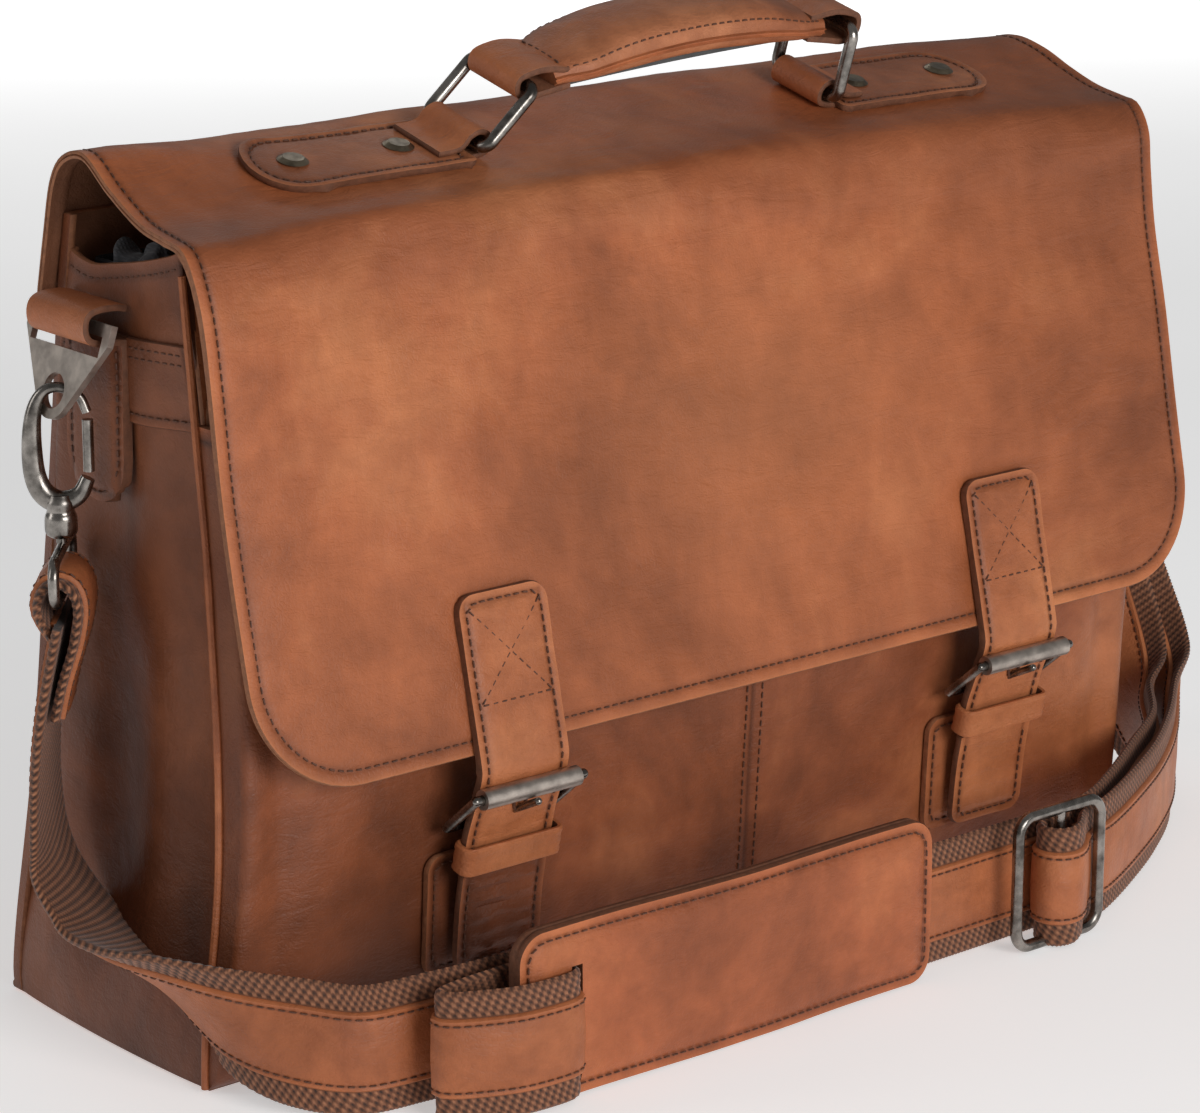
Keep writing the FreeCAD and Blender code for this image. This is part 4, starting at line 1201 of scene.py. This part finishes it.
def grip():
    """Padded arch with a pale welt down each side, and a plain loop round each ring."""
    steps = np.concatenate([[0, 0.004, 0.012], np.linspace(0.03, 0.97, 60), [0.988, 0.996, 1.0]])
    line, sections = [], []
    for t in steps:
        x, z = grip_axis(t)
        line.append(top_frame(x, 0, z))
        half, above, below = grip_size(t)
        section = grip_arc(half, above, np.linspace(0.06, 0.94, 21), 1)
        section += [(-half - a, b) for a, b in WELT]
        section += grip_arc(half, below, np.linspace(0.94, 0.06, 17), -1)
        section += [(half + a, -b) for a, b in WELT]
        sections.append(section)
    groups = [0] * 21 + [1] * 5 + [0] * 18 + [1] * 5 + [0]
    wide = top_frame(0, 1, 0) - top_frame(0, 0, 0)
    tone = [0.0] * (len(steps) * len(groups))
    cover = sweep("grip_cover", line, wide, sections, ("handle", "strip"), groups, tone=tone)
    attach(cover, "handle_grip", "trim_leather", "handle_grip")
    attach(stitches("grip_stitches", grip_rows()), "handle_grip", "trim_leather")
    for side, sign, (bx, bz), reach in (("left", 1, GRIP_LEFT, 5.0), ("right", -1, GRIP_RIGHT, 6.0)):
        profile = [(17, reach - 0.6), (9, reach + 0.6), (3, reach + 0.5), (-reach * 0.72, reach * 0.72),
                   (-reach - 0.2, 0), (-reach * 0.72, -reach * 0.72), (1, -reach), (8, -reach + 1.0),
                   (17, -reach + 2.4)]

        def around_ring(a, p, q, sign=sign, bx=bx, bz=bz):
            return top_frame(bx + sign * p, sign * a, bz + q)

        leather_loop("grip_loop_" + side, "handle_grip", around_ring, profile, LOOP_HALF + 0.4, 2.0, 0.3)


def grip_rows():
    """Stitch rows along both sides and across both ends of the grip."""
    up_way = unit(top_frame(0, 0, 1) - top_frame(0, 0, 0))
    across, rise = math.cos(0.12 * math.pi) ** 0.8, math.sin(0.12 * math.pi) ** 0.75
    rows = []
    for sign in (-1, 1):
        row = []
        for t in np.linspace(0.02, 0.98, 80):
            x, z = grip_axis(t)
            half, above, _ = grip_size(t)
            row.append(top_frame(x, sign * half * across, z + 1.2 + above * rise))
        rows.append(row)
    for t in (0.02, 0.98):
        x, z = grip_axis(t)
        rows.append([top_frame(x, a, z + 4.6 - 0.6 * (a / 11) ** 4) for a in np.linspace(-10, 10, 12)])
    return [facing(row, up_way) for row in rows]


# ---------------------------------------------------------------- front straps

def wrinkle(strength, seed):
    """Cross creases of a strap that is bent often."""
    def relief(a, b):
        wave = math.sin(b * 1.15 + 1.6 * rough(a, b, 0, 11, seed) * 2.2 + 0.05 * a)
        height = strength * (wave ** 3) * (0.6 + 0.5 * rough(a * 0.8, b, 0, 9, seed + 3))
        return height * ease((STRAP_HALF - abs(a) - 3) / 4)

    return relief


def front_straps():
    for number, (side, _) in enumerate(SIDES):
        x = STRAP_X[number]
        surface, length = bent(STRAP_LINE, x)
        crease = wrinkle(0.55, 3.0 + number)

        def relief(a, b, crease=crease):
            return crease(a, b) * ease((length - BOX_STITCH - b) / 14) + 0.35 * rough(a, b, 0, 12, 2.0)

        leather_sheet("strap_leather_" + side, surface, STRAP_HALF, length, 0, 6.0, 2.7,
                      ("strip", "suede", "dark_edge"), "flap_front", "trim_leather",
                      ("front_strap_" + side,), 2.2, 2.7, sewn=("left", "right", "high"), relief=relief,
                      puff=0.6)
        box_stitches(side, surface, length)
        buckle_hole(side, x)
        strap_keeper(side, x)
        strap_tail(side, x, number)
        catch_tab(side, x)


def box_stitches(side, surface, length):
    """Crossed box that holds a strap to the flap."""
    low, high = length - BOX_STITCH, length - 4.5
    inside = STRAP_HALF - 3.2
    lines = (((-inside, low), (inside, low)), ((-inside, low), (inside, high)),
             ((inside, low), (-inside, high)))
    paths = [on_surface(surface, even(line, 2.0), 0.45) for line in lines]
    attach(stitches("box_stitches_" + side, paths), "flap_front", "trim_leather")


def buckle_hole(side, x):
    """Punched hole of the prong, seen as a dark ring on the strap."""
    y, z = BUCKLE_HOLE
    points = [(x + a, y - 0.38 * b, z + b) for a, b in circle(2.4, 16, 1.5)]
    ring = sweep("strap_hole_" + side, points, (0.0, -0.93, -0.36), circle(0.55, 6), ("thread",), closed=True)
    attach(ring, "flap_front", "trim_leather")


def strap_keeper(side, x):
    """Loop of leather round the strap, a little proud at its front."""
    y, z = KEEPER
    (y0, z0), (y1, z1) = STRAP_LINE[:2]
    slope = unit(np.array([0.0, y1 - y0, z1 - z0]))
    out = np.array([0.0, -slope[2], slope[1]])
    centre = np.array([x, y, z])
    half, deep, corner = STRAP_HALF + 1.6, 3.4, 2.2
    loop = []
    for cx, cy, first in ((half - corner, deep - corner, 0), (-half + corner, deep - corner, 1),
                          (-half + corner, -deep + corner, 2), (half - corner, -deep + corner, 3)):
        for t in np.linspace(0, math.pi / 2, 6) + first * math.pi / 2:
            a, b = cx + corner * math.cos(t), cy + corner * math.sin(t)
            swell = 0.9 * (1 - (a / half) ** 2) if b > 0 else 0.0
            loop.append(centre + np.array([a, 0, 0]) + out * (b + swell - 1.2))
    loop = even(np.array(loop + loop[:1]), 1.4)[:-1]
    section = [(4.7, 0.8), (4.9, -0.2), (4.3, -0.9), (3.2, -1.0), (2.4, -0.7), (0, -0.95), (-2.4, -0.7),
               (-3.2, -1.0), (-4.3, -0.9), (-4.9, -0.2), (-4.7, 0.8)]
    groups = [0] * 10 + [1]
    piece = sweep("keeper_leather_" + side, loop, slope, section, ("strip", "dark_edge"), groups, closed=True)
    attach(piece, "flap_front", "trim_leather", "strap_keeper_" + side)


def strap_tail(side, x, number):
    """Free end of a front strap below its keeper; the left one is more creased, and its darker body leather
    is painted shade.
    """
    surface, length = bent(TAIL_LINE, x)
    # The left tail takes the darker body leather as painted shade; the right one has the strap's own leather.
    look, strength = (("body", 1.1), ("strip", 0.35))[number]
    leather_sheet("tail_leather_" + side, surface, STRAP_HALF - 0.6, length, 5.0, 0, 2.5,
                  (look, "suede", "dark_edge"), "strap_tail_" + side, "trim_leather",
                  ("strap_tail_" + side,), 1.3, 2.7, sewn=("left", "low", "right"),
                  relief=wrinkle(strength, 1.0 + 4 * number), puff=0.5)


def catch_tab(side, x):
    """Tab behind a tail, with the pale edges of its two layers."""
    def surface(a, b):
        z = 22.0 + b
        p = pocket_point((x - 4 + a) / side_x(sign_of(x), z), z)
        return p + np.array([0, -2.6 - 0.4 * abs(a) / 20, 0])

    leather_sheet("catch_leather_" + side, surface, STRAP_HALF + 3.0, 40, 5.0, 5.0, 2.2,
                  ("body", "suede", "edge"), "root", "trim_leather", ("catch_tab_" + side,), 3.0, 2.8)


# ---------------------------------------------------------------- snap hooks

def hook_frame(sign, across, z):
    """Point in the plane of a snap hook, from the middle of the strap ring's hole."""
    x = across * math.cos(HOOK_TURN)
    y = across * math.sin(HOOK_TURN)
    return np.array([-sign * (HOOK_HOLE[0] + x), y, HOOK_HOLE[2] + HOOK_LIFT + z])


def hooks():
    """Bent wire of each snap hook, thickest in its back, and the barrel that its swivel turns in."""
    wire = ((8.9, -7.6, 1.5), (7.0, -3.2, 1.5), (3.6, -0.8, 1.6), (0, 0, 1.6), (-3.4, -1.0, 1.7),
            (-5.9, -4.2, 2.1), (-7.4, -9.5, 2.6), (-8.0, -18, 3.1), (-7.4, -27, 3.4), (-4.9, -32.8, 3.6),
            (0, -35.4, 3.5), (5.8, -33.2, 2.7), (8.6, -28.0, 2.2))
    neck = ((-33.0, 3.6), (-35.5, 4.6), (-38, 4.2), (-40, 4.9), (-44.0, 5.0), (-45.4, 4.5), (-46.4, 3.0))
    line = smooth_line(wire, 0.9)
    levels = smooth_line(neck, 0.5)
    for side, sign in SIDES:
        points = [hook_frame(sign, a, z) for a, z, _ in line]
        wide = hook_frame(sign, 0, 0) - hook_frame(sign, 0, 1)
        normal = np.cross(unit(wide), unit(hook_frame(sign, 1, 0) - hook_frame(sign, 0, 0)))
        sections = [circle(1.0, 16) * (0.72 * r + 0.4, r) for _, _, r in line]
        claw = sweep("hook_claw_" + side, points, normal, sections, ("metal",))
        attach(claw, "hook_" + side, "gunmetal", "hook_body_" + side)
        points = [hook_frame(sign, 0, z) for z, _ in levels]
        rings = [circle(r, 24) for _, r in levels]
        barrel = sweep("hook_barrel_" + side, points, (1.0, 0.0, 0.0), rings, ("metal",))
        attach(barrel, "hook_" + side, "gunmetal")


# ---------------------------------------------------------------- shoulder strap

UP = (0.0, 0.0, 1.0)
STRAP_TURN = math.radians(50)  # how far the strap faces forwards beside the hooks
TOWARDS_FRONT_LEFT = (-math.cos(STRAP_TURN), -math.sin(STRAP_TURN), 0.0)
TOWARDS_FRONT_RIGHT = (math.cos(STRAP_TURN), -math.sin(STRAP_TURN), 0.0)
MID = 21.4                     # height of the middle of the strap along the front


def upright(*points):
    """Stations (point, direction across the strap) where it stands on its edge along the front."""
    return [((x, y, MID), UP) for x, y in points]


def swivel_bar(sign):
    return np.array([-sign * HOOK_HOLE[0], 0.0, HOOK_HOLE[2] - SWIVEL_DROP])


def left_route():
    """From the left hook along the side and front, folded back on itself and into the pad's slot."""
    top = swivel_bar(-1) - np.array([0, 0, 7.8])
    side = [(tuple(top), TOWARDS_FRONT_LEFT), ((-217, 3, 112), (-0.66, -0.75, 0)),
            ((-218, 6, 84), (-0.68, -0.73, 0.05)), ((-217.5, 3, 61), (-0.72, -0.68, 0)),
            ((-215, -13, 45), (-0.75, -0.62, 0.1)), ((-213, -34, 38), (-0.75, -0.32, 0.35)),
            ((-210, -56, 32.5), (-0.5, -0.2, 0.72)), ((-204.5, -75, 27.5), (-0.2, -0.1, 0.95)),
            ((-194, -91, 24), UP), ((-179, -102, 21), UP)]
    inner_layer = upright((-158, -107), (-130, -109.5), (-112, -111.3), (-107.6, -113.4))
    middle_layer = upright((-112, -115.6), (-135, -116.8), (-157, -118.0), (-163.6, -120.6))
    outer_layer = upright((-161.2, -125.0), (-151, -130.4), (-141, -133.8), (-126.5, -134.6))
    slot = upright((-121.2, -132.6), (-119.6, -128.0), (-118.0, -123.8), (-108, -121.8))
    return side + inner_layer + middle_layer + outer_layer + slot


def right_inner_route():
    """From behind the pad along the front and up the right side."""
    foot = swivel_bar(1) - np.array([3.0, 0, 7.8])
    front = upright((-108, -121.8), (-45, -122), (25, -122), (89, -121), (112, -118.5), (137, -106.5),
                    (167, -88.5))
    return front + [((197, -70, 21.6), UP), ((219.5, -44, 25), (-0.05, -0.25, 0.97)),
                    ((231, -24, 38), (0.29, -0.72, 0.6)), ((233, -9, 60), (0.62, -0.7, 0.29)),
                    ((226, -3, 90), (0.62, -0.74, 0.18)), (tuple(foot), TOWARDS_FRONT_RIGHT)]


def right_outer_route():
    """From behind the slide round its middle bar and back to the right hook."""
    foot = swivel_bar(1) + np.array([6.0, 0, -7.8])
    round_bar = upright((98, -124.6), (88, -126.5), (80.4, -129.0), (78.0, -133.6), (80.2, -138.2),
                        (85.5, -139.4), (91.5, -136.4), (98, -131.0))
    front = upright((105, -127.6), (116, -124.6), (140, -113), (172, -95))
    return round_bar + front + [((203, -73, 21.6), UP), ((229, -48, 25), (-0.05, -0.25, 0.97)),
                                ((242, -26, 37), (0.29, -0.72, 0.6)), ((243.5, -9, 60), (0.62, -0.7, 0.29)),
                                ((235, -3, 90), (0.62, -0.74, 0.18)), (tuple(foot), TOWARDS_FRONT_RIGHT)]


def hook_loop_route(sign):
    """Teardrop of strap round the swivel's bar, sewn to itself below."""
    bar = swivel_bar(sign)
    way = np.array([-sign * math.cos(HOOK_TURN), math.sin(HOOK_TURN), 0.0])
    path = ((-2.0, -37), (0.6, -26), (4.6, -13), (6.2, -3), (4.6, 3.4), (0, 5.8), (-4.6, 3.4), (-6.0, -3),
            (-3.4, -9), (-0.5, -13))
    wide = TOWARDS_FRONT_LEFT if sign < 0 else TOWARDS_FRONT_RIGHT
    return [(tuple(bar + way * p + np.array([0, 0, q])), wide) for p, q in path]


def strap_frames(stations, step):
    data = smooth_line([(*p, *w) for p, w in stations], step)
    line, wide = data[:, :3], data[:, 3:]
    along = unit(np.gradient(line, axis=0))
    wide = unit(wide - along * np.sum(wide * along, axis=1, keepdims=True))
    return line, wide, np.cross(along, wide)


def web_ring(half, faces):
    """(across, side) round the webbing's section, with few points where leather covers a face."""
    margin = np.linspace(half, STRIP_HALF - 1.4, 12)
    covered, bare = np.concatenate([margin, -margin[::-1]]), np.linspace(half, -half, 56)
    front, back = [covered if face in faces else bare for face in (1, -1)]
    return [(half + 0.5, 0)] + [(w, 1) for w in front] + [(-half - 0.5, 0)] + [(w, -1) for w in back[::-1]]


def web_point(w, t, a, half):
    """(across, out) and yarn height of the braid at a distance a along the webbing."""
    if t == 0:
        yarn = math.sin(2 * math.pi * a / WEAVE)
        return (w + math.copysign(0.35 * yarn, w), 0.0), yarn
    yarn = math.sin(2 * math.pi * (a + YARN_LEAN * w) / WEAVE) * math.cos(math.pi * w / YARN_WIDTH)
    lean = 0.75 if abs(w) > half - 0.6 else 1.0
    return (w, t * (WEB_THICK / 2 * lean + YARN_RISE * yarn)), yarn


def webbing(name, stations, faces, nodes, half=WEB_HALF):
    """Braided webbing with a stitched leather strip on each of the given faces (1 or -1)."""
    line, wide, out = strap_frames(stations, WEAVE / 4)
    length = float(np.sum(np.linalg.norm(np.diff(line, axis=0), axis=1)))
    sections, tone = [], []
    for i in range(len(line)):
        a = i * length / (len(line) - 1)
        ring = [web_point(w, t, a, half) for w, t in web_ring(half, faces)]
        sections.append([point for point, _ in ring])
        tone += [yarn for _, yarn in ring]
    piece = sweep(name, line, wide, sections, ("web",), tone=tone)
    attach(piece, "root", "webbing", *nodes)
    extras = []
    for face in faces:
        strip = strip_leather(name + ("_strip" if face > 0 else "_strip_inner"), line[::3], wide[::3], face)
        paths = []
        for k in (-1, 1):
            points = line + wide * (k * (STRIP_HALF - 2.0)) + out * face * (WEB_THICK / 2 + 1.45)
            paths.append((points, out * face))
        thread = stitches(strip.name + "_stitches", paths)
        extras += [attach(strip, "root", "webbing"), attach(thread, "root", "webbing")]


def strip_leather(name, line, wide, face):
    """Leather strip on the webbing, with a groove along each row of stitches and worn edges."""
    low, high = WEB_THICK / 2 - 0.3, WEB_THICK / 2 + 1.4
    right = [(STRIP_HALF, high - 0.7, 0.5), (STRIP_HALF - 0.6, high, 0.4), (STRIP_HALF - 1.4, high, 0),
             (STRIP_HALF - 2.0, high - 0.25, -0.5), (STRIP_HALF - 2.8, high, 0)]
    left = [(-w, t, tone) for w, t, tone in right[::-1]]
    shape = [(-STRIP_HALF, low, 0), (STRIP_HALF, low, 0)] + right + [(0, high + 0.25, 0)] + left
    section = [(w, t * face) for w, t, _ in shape]
    return sweep(name, line, wide, section, ("strip",), tone=[tone for _, _, tone in shape] * len(line))


def shoulder_strap():
    webbing("strap_left_web", left_route(), (1,), ("strap_left", "strap_middle_layer", "strap_front_layer"))
    webbing("strap_inner_web", right_inner_route(), (1, -1), ("strap_right_inner",))
    webbing("strap_outer_web", right_outer_route(), (1, -1), ("strap_right_outer",))
    for side, sign in SIDES:
        webbing("hook_loop_web_" + side, hook_loop_route(sign), (1,), ("strap_loop_" + side,), LOOP_WEB_HALF)


def with_columns(grid, extra):
    """The same patch with columns added at the given distances across."""
    across = grid[0, :, 0]
    columns = np.sort(np.concatenate([across, extra]))
    return np.stack([np.stack([columns, np.interp(columns, across, row[:, 1])], axis=-1) for row in grid])


def shoulder_pad():
    """Leather pad standing on its long edge; the strap goes in through its slot."""
    x0, x1, top = PAD
    half, middle, corner = (x1 - x0) / 2, (x0 + x1) / 2, PAD_CORNER
    left, right, low, high = PAD_SLOT

    def place(a, b, puff):
        return middle + a, PAD_Y - puff - 1.2 * math.cos(a / half * 1.5), b + 0.6 * math.sin(a / 33) ** 2

    marks = with_columns(patch(half, top, corner, corner, 4.0), [left - middle, right - middle])
    grid = np.zeros(marks.shape[:2] + (3,))
    tone = np.zeros(marks.shape[:2])
    for r, c in np.ndindex(tone.shape):
        a, b = marks[r, c]
        gap = edge_gap(a, b, half, top, corner, corner)
        puff = 1.3 * ease((gap - 2) / 7) + seam_dip(gap, PAD_SEAM) + 0.5 * rough(a, b, 0, 28, 5.0)
        grid[r, c] = place(a, b, puff)
        tone[r, c] = edge_tone(gap, PAD_SEAM)
    rows = marks[:, marks.shape[1] // 2, 1]
    columns = marks[0, :, 0] + middle
    hole = [int(np.argmin(np.abs(rows - z))) for z in (low, high)]
    hole += [int(np.argmin(np.abs(columns - x))) for x in (left, right)]
    piece = sheet("pad_leather", grid, PAD_THICK, ("pad", "suede", "dark_edge"), DOUBLE_RIM, tone, hole)
    attach(piece, "root", "trim_leather", "shoulder_pad")
    row = [place(a, b, 0.35) for a, b in outline(half, top, corner, corner, PAD_SEAM)]
    attach(stitches("pad_stitches", [facing(row, (0.0, -1.0, 0.0))]), "root", "trim_leather")


# ---------------------------------------------------------------- CAD pieces that keep their shape

def finish_cad_pieces():
    pairs = {"metal": ("buckle_frame", "buckle_prong", "hook_gate", "hook_swivel", "snap_stud",
                       "handle_ring"),
             "plate": ("strap_ring", "buckle_roller")}
    for look, stems in pairs.items():
        for stem in stems:
            for side, _ in SIDES:
                repaint(stem + "_" + side, look)
    for name, look in (("adjuster_slide", "metal"), ("handle_rivets", "rivet"), ("snap_sockets", "metal"),
                       ("handle_core", "board")):
        repaint(name, look)


def repaint(name, look):
    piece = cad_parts[name]
    if not piece.material_slots:
        piece.data.materials.append(MATERIALS[look])
    for place in piece.material_slots:
        place.material = MATERIALS[look]


# ---------------------------------------------------------------- camera, light and floor

def add_camera():
    azimuth, height = math.radians(CAMERA_AZIMUTH), math.radians(CAMERA_HEIGHT)
    data = bpy.data.cameras.new("camera")
    data.sensor_width = CAMERA_SENSOR
    data.lens = CAMERA_LENS
    camera = bpy.data.objects.new("camera", data)
    level = math.cos(height)
    back = Vector((math.sin(azimuth) * level, -math.cos(azimuth) * level, math.sin(height)))
    camera.location = CAMERA_PLACE
    camera.rotation_euler = (-back).to_track_quat("-Z", "Y").to_euler()
    bpy.context.collection.objects.link(camera)
    bpy.context.scene.camera = camera


def add_light(name, place, target, size, power):
    data = bpy.data.lights.new(name, "AREA")
    data.shape = "RECTANGLE"
    data.size, data.size_y = size
    data.energy = power
    light = bpy.data.objects.new(name, data)
    light.location = place
    light.rotation_euler = (Vector(place) - Vector(target)).to_track_quat("Z", "Y").to_euler()
    bpy.context.collection.objects.link(light)


def add_floor():
    material, tree, shader = shader_tree("pale_floor")
    shade = ramp(tree, noise_node(tree, 3.0), [(0.3, (0.86, 0.86, 0.86)), (0.7, (0.9, 0.9, 0.9))])
    paint(tree, shader, shade, {"Roughness": 0.9, "Emission Color": WHITE, "Emission Strength": FLOOR_GLOW})
    bpy.ops.mesh.primitive_plane_add(size=16, location=(0, 0, -0.0006))
    floor = bpy.context.object
    floor.name = "floor"
    floor.data.materials.append(material)


def studio():
    """Pale floor, even surroundings and four soft lights; places are in metres and powers in watts."""
    add_floor()
    world = bpy.data.worlds.new("studio")
    world.use_nodes = True
    background = world.node_tree.nodes["Background"]
    background.inputs["Color"].default_value = WHITE
    background.inputs["Strength"].default_value = WORLD_STRENGTH
    bpy.context.scene.world = world
    add_light("key", (-0.15, -1.9, 0.66), (-0.05, 0, 0.15), (1.0, 0.7), 21)
    add_light("sheen", (0.5, 1.2, 1.1), (0, 0, 0.25), (1.2, 0.2), 1.4)
    add_light("rim", (-1.6, 0.7, 0.7), (-0.1, 0, 0.15), (0.5, 1.0), 3.5)
    add_light("backdrop", (2.2, 3.0, 1.8), (2.8, 3.9, 0), (3.4, 3.4), 120)
    bpy.context.scene.view_settings.view_transform = "Standard"


add_camera()
studio()
flap()
pocket()
front_panel()
back_panel()
base()
gussets()
lining()
divider()
anchors()
grip()
front_straps()
hooks()
shoulder_strap()
shoulder_pad()
finish_cad_pieces()
